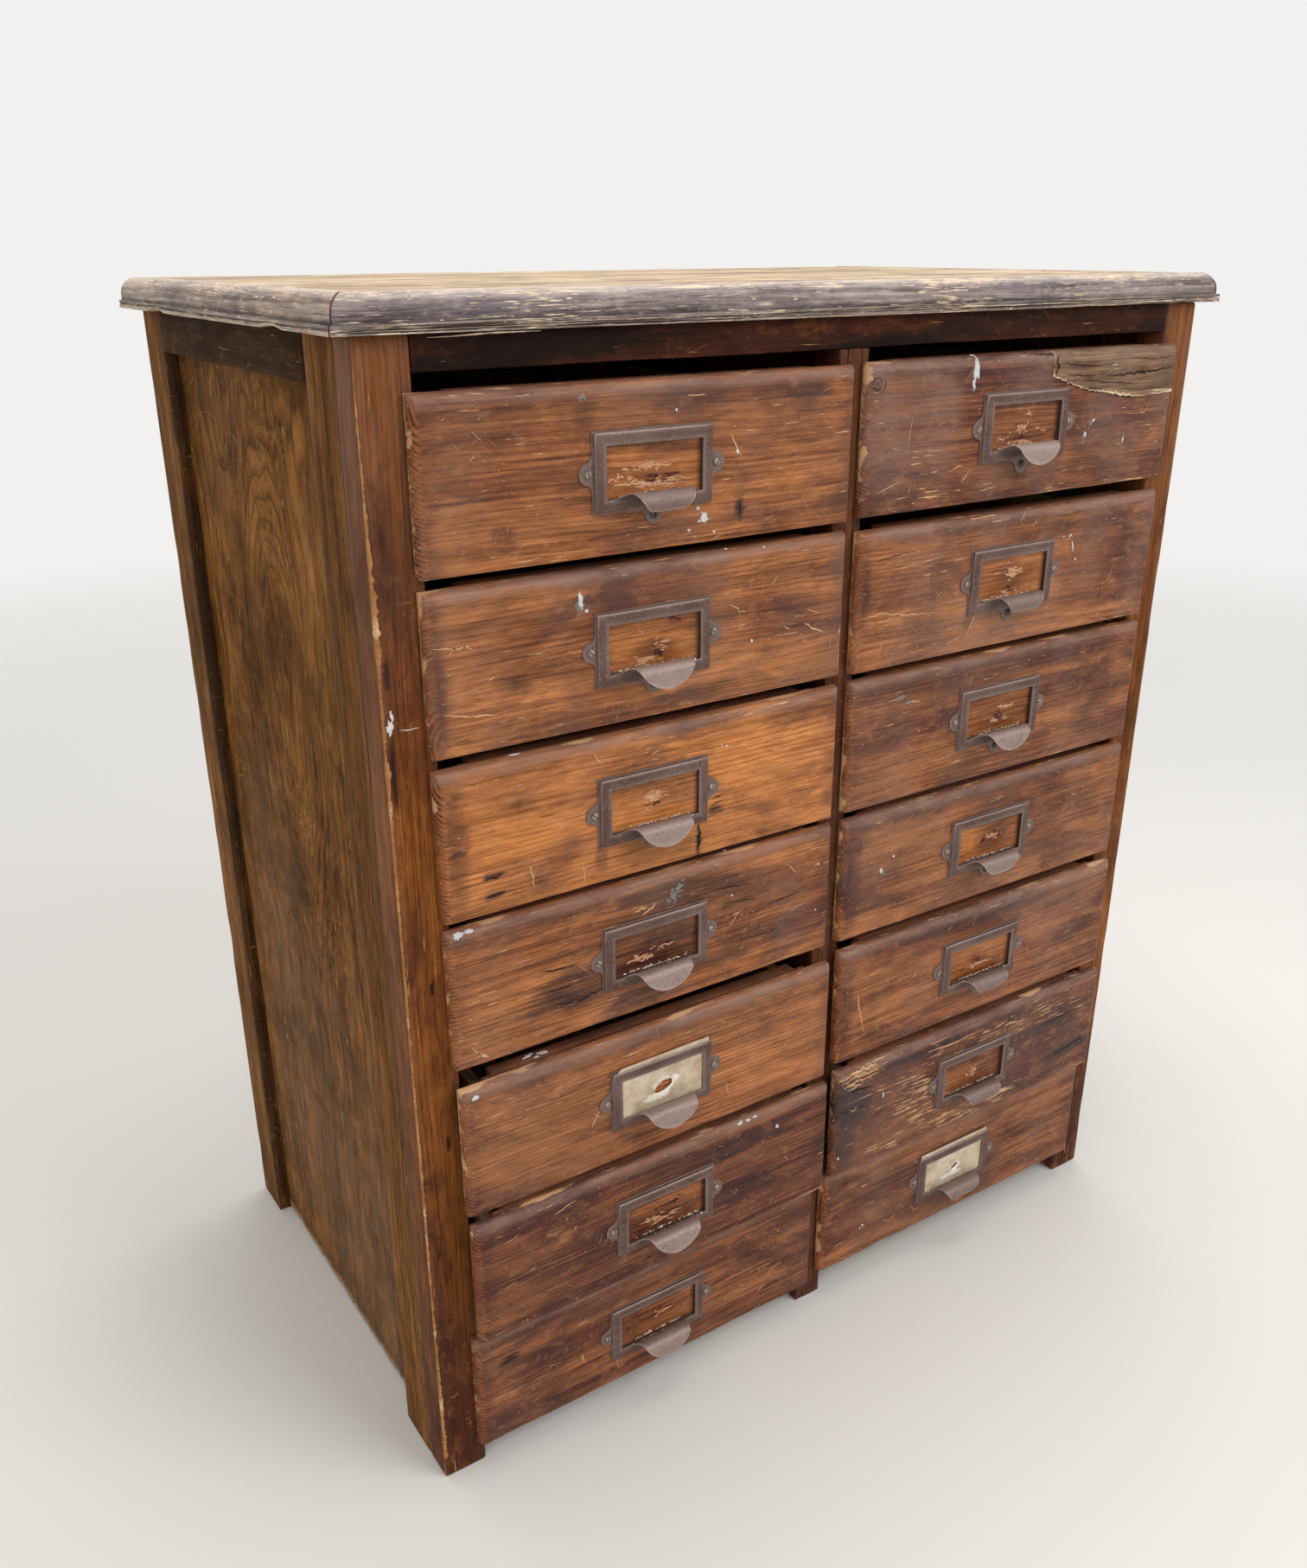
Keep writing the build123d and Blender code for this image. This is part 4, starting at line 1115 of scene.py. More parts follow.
def drawerBox(key, number, body):
    look, node = boxLook, key + "_box"
    low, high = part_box(node)
    inner, outer = low[0] + look["side"], high[0] - look["side"]
    under, over = low[2] + look["floorFrom"], low[2] + look["floorTo"]
    boards = [wornBoard(*board) for board in (
        (low, (inner, high[1], high[2]), 1, number + 110, 0.8 * mm, 18 * mm, 0.5 * mm),
        ((outer, low[1], low[2]), high, 1, number + 130, 0.8 * mm, 18 * mm, 0.5 * mm),
        ((inner, high[1] - look["side"], over), (outer, high[1], high[2]), 0, number + 150, 0.6 * mm, 20 * mm,
         0.4 * mm),
        ((inner, low[1] + look["behindFront"], under), (outer, high[1], over), 1, number + 170, 0.3 * mm, 22 * mm,
         0.2 * mm),
    )]
    makePiece(pieceName(key, "Box"), boards, body, "innerWood", node=node)


# Pull: plate with three ears, folded card frame, curled leaf, screws and the crumbs at the leaf's root. All in mm, out
# from the front's face and up from the plate's middle.

pullLook = {
    "sheet": 1.0, "plate": (45.0, 25.3), "frame": (44.0, 24.3), "frameWide": 9.0, "ear": (9.5, 11.8, 6.9), "earAt": 4,
    "frameSection": [(0, 1.0), (0, 2.1), (0.3, 2.9), (0.9, 3.36), (1.9, 3.5), (4.8, 3.5), (7.5, 3.5), (7.95, 3.3),
                     (8.0, 2.5), (5.0, 2.5), (1.0, 2.5), (1.0, 1.0)],
    "screwAt": 48.2, "lowScrewAt": -28.5, "screw": (2.9, 1.7, 0.75), "leafSteps": (30, 22), "leafStart": (3.17, -17.3),
    "leafLean": 40, "root": 34.0, "crest": 22.5, "flare": 10.66, "crestOut": 13.83, "tip": (24.2, -2.4),
    "leafRun": 3.0, "leafRise": 13.0, "leafRoll": 4.5, "leafLong": 29.5,  # straight foot, bend up, roll over, whole
    "crumbs": 80, "crumbsAt": [-18, -4, 10, 22], "crumbsFoot": -16.4,
}


def earOutline():
    # out from the plate's edge and along it: a flared foot, then a round tip
    reach, foot, tip = pullLook["ear"]
    flare = [(0.0, foot), (0.25, foot - 1.5), (0.9, foot - 2.9), (1.9, foot - 4.1)]
    arc = [(reach - tip + tip * math.cos(a), tip * math.sin(a)) for a in np.radians(np.linspace(84, -84, 15))]
    return flare + arc + [(u, -v) for u, v in flare[::-1]]


def plateOutline():
    w, h = pullLook["plate"]
    beside = h / 2 + pullLook["earAt"]
    ear = earOutline()
    points = [(w, -h), (w, -beside)] + [(w + u, -v) for u, v in ear] + [(w, beside), (w, h)]
    points += [(x, h) for x in np.linspace(w, -w, 12)[1:-1]] + [(-w, h), (-w, beside)]
    points += [(-w - u, v) for u, v in ear] + [(-w, -beside), (-w, -h), (-w / 2, -h)]
    return np.array(points + [(-v, -h - u) for u, v in ear] + [(w / 2, -h)])


def facePlaced(origin, x, out, z):
    return (origin[0] + x * mm, origin[1] - out * mm, origin[2] + z * mm)


def plateParts(origin):
    outline = plateOutline()
    inward = -outline / np.hypot(outline[:, 0], outline[:, 1])[:, None]
    gap = np.array(pullLook["plate"]) - pullLook["frameWide"]
    hole = np.clip(outline, -gap, gap)
    layers = [(outline, 0.0), (outline, 0.72), (outline + inward * 0.28, 1.0), (hole, 1.0), (hole, 0.0)]
    rings = np.array([[facePlaced(origin, x, out, z) for x, z in ring] for ring, out in layers])
    points, faces = skin(rings, closedAlong=True)
    worn = np.repeat([0.05, 0.5, 0.35, 0.1, 0.0], len(outline))
    return points, faces, {"worn": worn, "stain": np.zeros(len(worn))}


def frameParts(origin, rng):
    w, h = pullLook["frame"]
    counts = (10, 6, 10, 6)
    rings, worn = [], []
    for d, out in pullLook["frameSection"]:
        x, z = w - d, h - d
        shadeByFrame = [(-x, z), (x, z), (x, -z), (-x, -z)]  # upper side first
        ring = []
        for k in range(4):
            a, b = shadeByFrame[k], shadeByFrame[(k + 1) % 4]
            for f in np.arange(counts[k]) / counts[k]:
                level = max(out, 2.5) if k == 0 else out  # open along the upper side, where the card goes in
                ring.append((a[0] + (b[0] - a[0]) * f, level, a[1] + (b[1] - a[1]) * f))
        rings.append([facePlaced(origin, *p) for p in ring])
        edge = 0.5 if d in (0, 0.3) else (0.4 if d > 7.4 else 0.06)
        worn += [edge + (0.3 if i < counts[0] and d < 1 else 0) for i in range(len(ring))]
    rings = np.array(rings)
    dents = ripple(rings.reshape(-1, 3), 55.0, rng.uniform(0, 50)) * 0.22 * mm
    rings[..., 1] += dents.reshape(rings.shape[:2])
    points, faces = skin(rings, closedAlong=True)
    return points, faces, {"worn": clamped(np.array(worn) + dents * 900), "stain": np.zeros(len(worn))}


def leafCurve(s, curl):
    # out and height over the pull's middle along the leaf's under side, and the way it faces
    start, run = pullLook["leafStart"], pullLook["leafRun"]
    rise, over = pullLook["leafRise"] - 2.0 * curl, pullLook["leafRoll"] + 1.28 * curl
    lean, turn = math.radians(pullLook["leafLean"]), math.radians(82 + 40 * curl)
    if s < run:
        return start[0] + s * math.cos(lean), start[1] + s * math.sin(lean), lean
    x, z = start[0] + run * math.cos(lean), start[1] + run * math.sin(lean)
    s -= run
    if s < rise * lean:
        a = lean - s / rise
        return x + rise * (math.sin(lean) - math.sin(a)), z + rise * (math.cos(a) - math.cos(lean)), a
    x, z = x + rise * math.sin(lean), z + rise * (1 - math.cos(lean))
    s -= rise * lean
    if s < over * turn:
        a = s / over
        return x + over * math.sin(a), z - over * (1 - math.cos(a)), -a
    x, z = x + over * math.sin(turn), z - over * (1 - math.cos(turn))
    s -= over * turn
    return x + s * math.cos(turn), z - s * math.sin(turn), -turn


def leafParts(origin, rng, curl):
    look = pullLook
    across, down = look["leafSteps"]
    tipRadius, tipMiddle = look["tip"]
    crestAt = look["leafRun"] + (look["leafRise"] - 2.0 * curl) * math.radians(look["leafLean"])
    longest = look["leafLong"] - 3.0 * curl
    outer, under, worn = [], [], []
    wave = rng.uniform(0, 30)
    for k in range(across + 1):
        u = -1 + 2 * k / across
        lowest = tipMiddle - math.sqrt(max(tipRadius ** 2 - (look["crest"] * u) ** 2, 0))
        lowest = max(lowest, -26.6 + 3.6 * curl)
        end = crestAt + 0.6
        while end < longest and leafCurve(end, curl)[1] > lowest - 0.3:
            end += 0.15
        for j in range(down + 1):
            s = end * j / down
            out, z, lean = leafCurve(s, curl)
            t = min(max((look["crestOut"] - out) / look["flare"], 0.0), 1.0) if s < crestAt + 1 else 0.0
            half = look["crest"] + (look["root"] - look["crest"]) * (1 - math.sqrt(1 - t * t))
            free = min(s / 14, 1)
            out += noise.noise(Vector((u * 1.7 + wave, s * 0.09, 0.4))) * 0.5 * free - 0.25 * free
            outer.append(facePlaced(origin, u * half, out - math.sin(lean) * look["sheet"],
                                    z + math.cos(lean) * look["sheet"]))
            under.append(facePlaced(origin, u * half, out, z))
            rim = 0.35 * (j > down - 2 or k in (0, across))
            worn.append((0.3 + 0.5 * min(s / 10, 1)) * (1 - 0.5 * curl) + rim)
    top, bottom = [np.array(side).reshape(across + 1, down + 1, 3) for side in (outer, under)]
    points, faces = skin(np.concatenate([top, bottom[:, ::-1]], axis=1))  # one closed section for each column
    upper = np.array(worn).reshape(across + 1, down + 1)
    marks = np.concatenate([upper, upper[:, ::-1] * 0.3], axis=1).reshape(-1)
    return points, faces, {"worn": clamped(marks), "stain": np.zeros(len(marks))}


def screwParts(origin, x, z, turn, dark):
    # round head with a slot: two half domes with a gap between them and a floor under it. The floor, and the whole
    # head when dark is given, are darkened as painted shade
    radius, rise, slot = pullLook["screw"]
    parts = []
    for sign in (1, -1):
        rings = []
        for a in math.pi / 2 * np.arange(5) / 4.6:
            r, h = radius * math.cos(a), rise * math.sin(a)
            limit = math.acos(min(slot / 2 / r, 1.0))
            spots = [turned(sign * r * math.cos(b), r * math.sin(b), turn) for b in np.linspace(-limit, limit, 9)]
            rings.append([facePlaced(origin, x + u, 1.0 + h, z + v) for u, v in spots])
        points, faces = skin(np.array(rings))
        worn = np.repeat([0.1, 0.2, 0.35, 0.45, 0.5], 9) * (1 - dark)
        parts.append((points, faces, {"worn": worn, "stain": np.full(45, dark)}))
    turns = np.linspace(0, 2 * math.pi, 14, endpoint=False)
    floor = [[facePlaced(origin, x + radius * 0.96 * math.cos(a), out, z + radius * 0.96 * math.sin(a)) for a in turns]
             for out in (1.0, 1.0 + rise * 0.35)]
    points, faces = skin(np.array(floor))
    parts.append((points, faces, {"worn": np.zeros(28), "stain": np.full(28, 0.8)}))
    return parts


def crumbParts(origin, rng):
    parts = []
    shadeByFrame = [(1, 0, 0), (-1, 0, 0), (0, 1, 0), (0, -1, 0), (0, 0, 1), (0, 0, -1)]
    faces = [(0, 2, 4), (2, 1, 4), (1, 3, 4), (3, 0, 4), (2, 0, 5), (1, 2, 5), (3, 1, 5), (0, 3, 5)]
    for _ in range(pullLook["crumbs"]):
        x = rng.normal(rng.choice(pullLook["crumbsAt"]), 6)
        if abs(x) > 32:
            continue
        size = rng.uniform(0.3, 0.95)
        z = pullLook["crumbsFoot"] + abs(rng.normal(0, 0.9))
        out = 3.0 + rng.uniform(0, 1.0) if z < -15.9 else 0.3
        points = [facePlaced(origin, x + a * size * rng.uniform(1, 2.4), out + b * size * 0.7,
                             z + c * size * rng.uniform(0.6, 1.3)) for a, b, c in shadeByFrame]
        parts.append((points, faces, {"worn": np.full(6, rng.uniform(0, 0.5))}))
    return parts


def pullPiece(key, number, body):
    origin, at = pullMiddle(key), pullLook["screwAt"]
    rng = np.random.default_rng(number + 400)
    curl = fronts[key].get("curl", plainFront["curl"])
    sheet = [plateParts(origin), frameParts(origin, rng), leafParts(origin, rng, curl)]
    makePiece(pieceName(key, "Pull"), sheet, body, "pullSteel", 40, key + "_pull")
    # the lower screw sits under the leaf and is darkened as painted shade
    screws = [part for x, z, dark in ((-at, 0.0, 0.0), (at, 0.0, 0.0), (0.0, pullLook["lowScrewAt"], 0.85))
              for part in screwParts(origin, x, z, rng.uniform(0, math.pi), dark)]
    makePiece(pieceName(key, "Screws"), screws, body, "screwSteel", 40)
    makePiece(pieceName(key, "Crumbs"), crumbParts(origin, rng), body, "glueCrumb", 20)


# Cards: two frames still hold one, torn through in the middle. Middle, half width and height of the tear and its tilt.

cards = {
    "left_5": {"tear": (0.5, -1.0, 8.5, 4.0, 20.0), "corner": 6.0,
               "fluff": [(1, 1, 10, 6), (-6, -8, 12, 3.5), (12, 3, 4, 3)]},
    "right_7": {"tear": (2.0, -1.0, 5.0, 1.4, 25.0), "corner": 0.8, "fluff": [(2, 0, 7, 4), (-2, -9, 14, 3)]},
}
cardSize = {"half": 42.0, "foot": -23.2, "head": 28.2, "out": 1.72, "thick": 0.35, "bow": 0.3}


def cardPiece(key, number, body):
    look = cards[key]
    origin = pullMiddle(key)
    half, foot, head = cardSize["half"], cardSize["foot"], cardSize["head"]
    rim = [(-half, foot), (half, foot), (half, head - 0.4)]
    for x in np.linspace(half - 3, look["corner"] - half, 26):
        rim.append((x, head - 0.7 - 0.9 * abs(noise.noise(Vector((x * 0.45, number, 0)))) - 0.6 * (number % 2)))
    rim.append((-half, head - look["corner"]))
    cx, cz, a, b, tilt = look["tear"]
    lean = math.radians(tilt)
    hole = []
    for angle in 2 * math.pi * np.arange(28) / 28:
        rag = 1 + 0.22 * noise.noise(Vector((math.cos(angle) * 2.4, math.sin(angle) * 2.4, number)))
        u, v = turned(a * rag * math.cos(angle), b * rag * math.sin(angle), lean)
        hole.append((cx + u, cz + v))
    inner = [(x, z) for x in np.arange(-40, 41, 4.0) for z in np.arange(-21, 26, 4.0)
             if ((x - cx) / (a + 3)) ** 2 + ((z - cz) / (b + 3)) ** 2 > 1 and abs(x) < half - 2]
    n = len(rim)
    edges = [(i, (i + 1) % n) for i in range(n)] + [(n + i, n + (i + 1) % len(hole)) for i in range(len(hole))]
    shadeByFrame, _, triangles, *_ = delaunay_2d_cdt([Vector(p) for p in rim + hole + inner], edges, [], 0, 0.001)
    kept = []
    for triangle in triangles:
        mx = sum(shadeByFrame[i].x for i in triangle) / len(triangle)
        mz = sum(shadeByFrame[i].y for i in triangle) / len(triangle)
        u, v = turned(mx - cx, mz - cz, -lean)
        torn = (u / a) ** 2 + (v / b) ** 2 < 0.94
        if not torn and not (mz > head - 1 and mx < look["corner"] - half):
            kept.append(tuple(triangle))
    bow = [cardSize["bow"] * noise.noise(Vector((p.x * 0.05, p.y * 0.07, number))) for p in shadeByFrame]
    points = [facePlaced(origin, p.x, cardSize["out"] + out, p.y) for p, out in zip(shadeByFrame, bow)]
    fluff = np.zeros(len(shadeByFrame))
    for x, z, w, h in look["fluff"]:
        far = np.array([((p.x - x) / w) ** 2 + ((p.y - z) / h) ** 2 for p in shadeByFrame])
        fluff = np.maximum(fluff, clamped(1.4 - far))
    parts = [(points, kept, {"worn": fluff})]
    piece = makePiece(pieceName(key, "Card"), parts, body, "cardPaper", 60, key + "_card")
    sheet = piece.modifiers.new("thickness", "SOLIDIFY")
    sheet.thickness = cardSize["thick"] * mm
    sheet.offset = 0


# Scrapes, dark streaks, painted shadow lines and paint on the fronts. Each scrape runs through its points and is as
# wide as its first number, all in mm from the front's middle; over z 45.5 the face rounds over to the roof.

scrapes = {
    "left_1": [(0.8, (59, 15), (63, 7), (67, 0)), (0.5, (-98, 20), (-92, 21.5)), (0.6, (-128, 14), (-124, 16))],
    "left_2": [(0.8, (-158, 18.6), (-146, 17), (-134, 17.5)), (0.6, (-140, 18), (-130, 14)),
               (0.7, (-123, -7), (-118, -4.5)), (0.9, (-155, -23), (-136, -27.5), (-117, -29.6)),
               (0.8, (61, 15), (74, 8)), (0.7, (107, -7), (114, -10)), (1.0, (126, -7), (136, -13), (144, -16.5)),
               (0.5, (-106, -34), (-98, -36)), (0.6, (-150, 12), (-141, 20)), (0.5, (128, 2), (140, -2)),
               (0.5, (96, 24), (101, 30)), (0.4, (150, -20), (152, -30))],
    "left_3": [(0.8, (-49, 44), (-45, 37), (-41, 35)), (0.9, (-99.5, -25), (-98, -34), (-97.5, -42)),
               (0.6, (-59, -33), (-58, -48)), (0.6, (-4, 33), (4, 36)), (0.5, (-3, 30), (3, 29)),
               (0.5, (-8, 38), (-1, 39)), (0.4, (98, 22), (104, 30)), (0.4, (-140, 10), (-133, 11))],
    "left_4": [(1.4, (-20, 29), (-8, 30.5)), (1.2, (-12, 25), (0, 31)), (0.9, (68, 2), (76, 4)),
               (0.9, (66, -6), (72, 2)), (0.6, (146, 22), (151, 24)), (0.6, (120, 30), (128, 22)),
               (1.6, (-146, -43), (-138, -48)), (0.9, (-150, -36), (-143, -46))],
    "left_5": [(0.7, (-62, -14), (-55, -2)), (0.5, (-60, -3), (-54, -8)), (0.4, (60, -20), (63, -34)),
               (0.4, (-120, 14), (-110, 16)), (0.5, (120, 22), (127, 25))],
    "left_6": [(0.7, (-98, 37), (-88, 41), (-79, 43)), (0.9, (-82, 17), (-80, 19)), (0.5, (-140, 30), (-128, 33)),
               (0.5, (90, 10), (97, 12)), (0.5, (118, 0), (122, -6))],
    "left_7": [(1.6, (-71, -8), (-70.5, -17)), (0.6, (84, -14), (90, -18)), (0.6, (103, -5), (107, -11)),
               (0.8, (117, -15), (124, -12.5), (130, -12)), (0.7, (104, -32), (111, -28)),
               (0.4, (-40, -30), (-37, -42))],
    "right_1": [(0.8, (-78, -26), (-73, -24), (-68, -24)), (0.8, (-67, -36), (-61, -29)),
                (0.9, (109, -22), (109, -14)), (0.5, (-124, -10), (-121, 14)), (0.5, (-150, -36), (-130, -30)),
                (0.5, (-120, -40), (-118, -30)), (0.4, (-96, 6), (-88, 10)), (0.6, (-48, -44), (-30, -42)),
                (0.4, (130, 0), (136, 8))],
    "right_2": [(0.9, (-160, -11), (-140, -9), (-112, -14), (-78, -17)), (0.7, (-49, -40), (-44, -30), (-40, -24)),
                (0.6, (-46, -33), (-40, -35)), (0.7, (-84, -6), (-80, -1)), (0.6, (0, 44), (6, 49)),
                (0.6, (14, 38), (20, 44)), (0.5, (-130, 22), (-80, 26)), (0.6, (-70, -44), (-52, -38))],
    "right_3": [(0.5, (112, 24), (118, 30)), (0.4, (-40, 30), (-36, 36)), (0.4, (92, 2), (97, 8))],
    "right_4": [(0.4, (-60, 20), (-54, 22)), (0.5, (-122, 5), (-118, -3)), (0.4, (100, 18), (106, 16))],
    "right_5": [(1.0, (-143, 10), (-138, -12), (-132, -33)), (0.7, (-44, 40), (-38, 42)), (0.6, (-74, 19), (-70, 22)),
                (0.6, (-81, 5), (-77, 9)), (0.4, (40, -16), (46, -14))],
    "right_6": [(1.6, (-156, 46), (-136, 48), (-118, 47)), (1.5, (-157, 41), (-138, 44), (-116, 42)),
                (1.4, (-155, 36), (-140, 39), (-124, 37)), (1.1, (-150, 32), (-134, 34)), (1.2, (-64, 6), (-52, 8)),
                (1.2, (-60, -6), (-50, -2)), (1.6, (-40, -40), (-26, -36)), (1.2, (-12, -36), (10, -32)),
                (1.0, (20, -44), (44, -41)), (1.0, (-110, -44), (-88, -41)), (0.8, (80, 30), (104, 34)),
                (0.8, (96, 20), (112, 23)), (0.8, (24, 34), (40, 37))],
    "right_7": [(0.8, (-89, -27), (-82, -31), (-76, -26)), (0.6, (-151, -32), (-142, -30), (-134, -30)),
                (0.4, (-60, 4), (-52, 6)), (0.4, (80, -30), (88, -28))],
}

streaksAndShadows = {
    "left_3": [(1.6, (-134, -27.5), (-120, -25.5)), (1.8, (-133, -40), (-119, -38)), (1.0, (46, -16), (57, -14)),
               (0.9, (44, -20), (55, -18.5)), (0.8, (45, -24), (52, -23)), (0.9, (48, -11), (56, -10)),
               (2.4, (37, -28), (36, -49))],
    "left_4": [(1.4, (-97, 5), (-80, 2.5), (-65, 2)), (2.0, (-85, -25), (-64, -27), (-46, -24)),
               (1.2, (67, -21), (110, -22)), (1.0, (50, 28), (84, 24)), (1.2, (-92, -12), (-70, -14)),
               (0.9, (60, 14), (92, 10)), (1.0, (100, 2), (132, 4))],
    "left_1": [(1.6, (67, -28), (66.5, -38))],
    # right_1: the slit and the crack, then dark lines along the split-off strip's lower edge, painted as its shadow,
    # then a knot
    "right_1": [(1.1, (-6, 50.5), (8, 50.2), (24, 48.5)), (1.2, (24, 48.5), (22.5, 44), (24, 40), (20, 34)),
                (1.3, (20, 34), (32, 30.5), (45, 26.2), (60, 22.2), (83, 18.6)),
                (1.2, (83, 18.6), (100, 16), (118, 14.2), (138, 14.6), (160, 15.6)),
                (0.7, (-151, 38), (-153, 42), (-157, 42.5), (-160, 39), (-158, 35), (-154, 34.5), (-151, 38)),
                (0.6, (-154, 38), (-156, 40), (-157, 37.5), (-154, 38)), (0.6, (-150, 34), (-147, 38), (-149, 41))],
    "right_2": [(0.8, (104, -20), (105, -32)), (0.7, (-152, 30), (-110, 34))],
    "right_6": [(1.6, (-150, 30), (-120, 27)), (1.4, (112, -26), (150, -19)), (1.2, (90, 14), (140, 18)),
                (1.3, (-158, 12), (-130, 10))],
    "left_7": [(1.6, (-143, 20), (-128, 22)), (1.2, (-140, 24), (-126, 25))],
}

drips = {  # x, z, half width, half height in mm from the front's middle, tilt in degrees
    "left_1": [(38, -35.5, 3.0, 3.4, 20), (33, -29.5, 1.6, 1.2, 0), (26, -43, 1.2, 1.0, 0), (46, -46, 1.1, 0.8, 0),
               (16, 33, 1.0, 1.1, 0), (64, 4, 1.0, 1.6, 12), (34, -38, 1.4, 0.9, 0)],
    "left_2": [(-56, 34, 1.6, 5.5, 8), (-52, 27, 1.3, 1.2, 0), (60, 53, 1.2, 0.8, 0), (90, 50, 0.9, 0.7, 0),
               (80, -13, 0.9, 1.2, 0)],
    "left_3": [(60, 27, 0.8, 0.7, 0), (56, 28, 0.6, 0.5, 0), (-104, 54, 4.0, 0.8, 0)],
    "left_4": [(66, 56, 1.3, 0.9, 0), (67, 19, 0.9, 0.9, 0), (150, 23, 0.8, 0.8, 0), (149, -16, 0.7, 0.7, 0),
               (-154, 49, 4.5, 2.0, 5), (-146, 50, 3.0, 1.2, 0), (10, -33, 1.8, 1.3, 0)],
    "left_5": [(-103, 62, 5.0, 1.2, 12), (-92, 61, 4.0, 1.4, -10), (-98, 59, 2.0, 0.9, 0), (-153, 46, 2.6, 1.6, 10)],
    "left_6": [(72, 49, 2.4, 1.0, 10), (80, 49, 2.2, 0.8, -5), (87, 49.5, 1.8, 0.8, 0), (109, 33, 1.6, 1.8, 20)],
    "right_1": [(-60, 45, 1.5, 8.0, 4), (-62.5, 42, 1.3, 6.5, -3), (-61, 54, 2.2, 1.6, 0), (-63, 33, 1.2, 3.4, 12),
                (71, -1, 1.8, 1.0, 40), (63, -11, 1.4, 2.2, 20), (109, -18, 1.0, 1.5, 0)],
    "right_2": [(60, 26, 1.8, 1.0, 30), (64, 17, 0.7, 4.5, 12), (69, 6, 0.9, 1.2, 0), (52, 26, 0.8, 0.5, 0)],
    "right_4": [(-109.5, 10.5, 1.1, 0.9, 0), (-122, 1, 1.2, 2.6, 25)],
    "right_6": [(-109, 13, 0.7, 3.0, 5), (-157, -34, 0.8, 1.6, 0)],
    "right_7": [(-115, -21, 1.4, 0.9, 20), (-118, -23, 0.8, 0.6, 0)],
}

smudges = {  # bluish and green bloom left by damp, in the same way
    "left_1": [(-52, 44, 2.4, 2.4, 0)],
    "left_2": [(-57, 30, 3.0, 5.0, 5)],
    "left_4": [(16.5, 36, 5.5, 4.0, 25), (14, 30, 4.5, 3.0, 20), (20, 40, 4.0, 2.4, 10)],
    "right_1": [(-63, 31, 1.8, 3.2, 15), (68, -4, 2.4, 2.0, 50), (62, -14, 1.6, 2.6, 20)],
    "right_3": [(-113, 33, 3.6, 2.4, 0), (-104, 27, 3.0, 2.0, 0)],
    "right_4": [(-123, 0, 1.8, 3.6, 25)],
}
looseLook = {  # small marks strewn over each front: how many, how far to the sides, down and up, and clear of the pull
    "scrapes": 22, "scrapeArea": (156, -48, 44), "specks": 30, "speckArea": (158, -49, 50), "pullClear": (58, 37),
}


def onFace(middle, x, z, out):
    # flat up to the rounded edge, then over it and back along the roof
    turn, top = frontLook["topRound"] / mm, frontLook["half"][1]
    run = z - (top - turn)
    if run <= 0:
        return facePlaced(middle, x, out, z)
    if run < turn + 2:
        a = math.pi / 2 * run / (turn + 2)
        return facePlaced(middle, x, (turn + out) * math.cos(a) - turn, top - turn + (turn + out) * math.sin(a))
    return facePlaced(middle, x, -turn - (run - turn - 2) * 1.4, top + out)


def ribbon(middle, width, path, rng, out=0.12):
    # a thin torn line through some points, tapered at both ends
    path = np.array(path, float)
    legs = np.hypot(*(path[1:] - path[:-1]).T)
    reach = np.concatenate([[0], np.cumsum(legs)])
    count = max(4, int(reach[-1] / 2.2))
    at = np.linspace(0, reach[-1], count + 1)
    line = np.stack([np.interp(at, reach, path[:, i]) for i in (0, 1)], -1)
    way = np.gradient(line, axis=0)
    way /= np.hypot(way[:, 0], way[:, 1])[:, None] + 1e-9
    across = np.stack([-way[:, 1], way[:, 0]], -1)
    line = line + across * rng.normal(0, width * 0.28, count + 1)[:, None]
    taper = np.sin(np.linspace(0.12, math.pi - 0.12, count + 1)) ** 0.6
    rows = []
    for p, side, thick in zip(line, across, taper * width / 2):
        a, b = rng.uniform(0.45, 1.3, 2) * thick
        rows.append([onFace(middle, *(p + side * a), out), onFace(middle, *(p - side * b), out)])
    return openStrip(rows, rng.uniform(0, 0.4))


def ribbons(middle, lines, rng, out=0.12, swell=1.0):
    return [ribbon(middle, width * swell, path, rng, out) for width, *path in lines]


def blot(middle, x, z, w, h, tilt, seed, thick=0.35):
    rings = []
    for level, out, keep in ((0, 0.02, 1.0), (1, thick, 0.82), (2, thick * 1.25, 0.35)):
        ring = []
        for a in 2 * math.pi * np.arange(18) / 18:
            rag = keep * (1 + 0.85 * noise.noise(Vector((math.cos(a) * 2 + seed, math.sin(a) * 2, x + level * 0.2))))
            u, v = turned(w * rag * math.cos(a), h * rag * math.sin(a), math.radians(tilt))
            ring.append(onFace(middle, x + u, z + v, out))
        rings.append(ring)
    points, faces = skin(np.array(rings))
    return points, faces, {"worn": np.full(len(points), 0.3)}


def mottled(middle, spot, rng):
    # a cloud of small flat specks in a tilted ellipse
    x, z, w, h, tilt = spot
    made = []
    for _ in range(int(w * h * 1.6) + 5):
        u, v = turned(*(rng.normal(0, 0.5, 2) * (w, h)), math.radians(tilt))
        made.append(blot(middle, x + u, z + v, rng.uniform(0.3, 1.2), rng.uniform(0.25, 0.8), tilt,
                         rng.uniform(0, 9), 0.1))
    return made


def slivers(origin, spots, rng, out):
    # short ribbons along the grain, thick in the middle of each spot
    wide, tall = frontLook["opening"]
    made = []
    for x, z, w, h, count in spots:
        for _ in range(count):
            u, v = rng.normal(0, 0.42, 2)
            half = rng.uniform(0.25, 0.9) * w * max(0.3, 1 - abs(v)) / 2
            cx, cz = x + u * w, z + v * h
            path = [(cx - half, cz + rng.normal(0, 0.25)), (cx, cz), (cx + half, cz + rng.normal(0, 0.25))]
            if max(abs(cx) + half - wide, abs(cz) - tall) < -0.6:
                made.append(ribbon(origin, rng.uniform(0.7, 2.0), path, rng, out + rng.uniform(0, 0.08)))
    return made


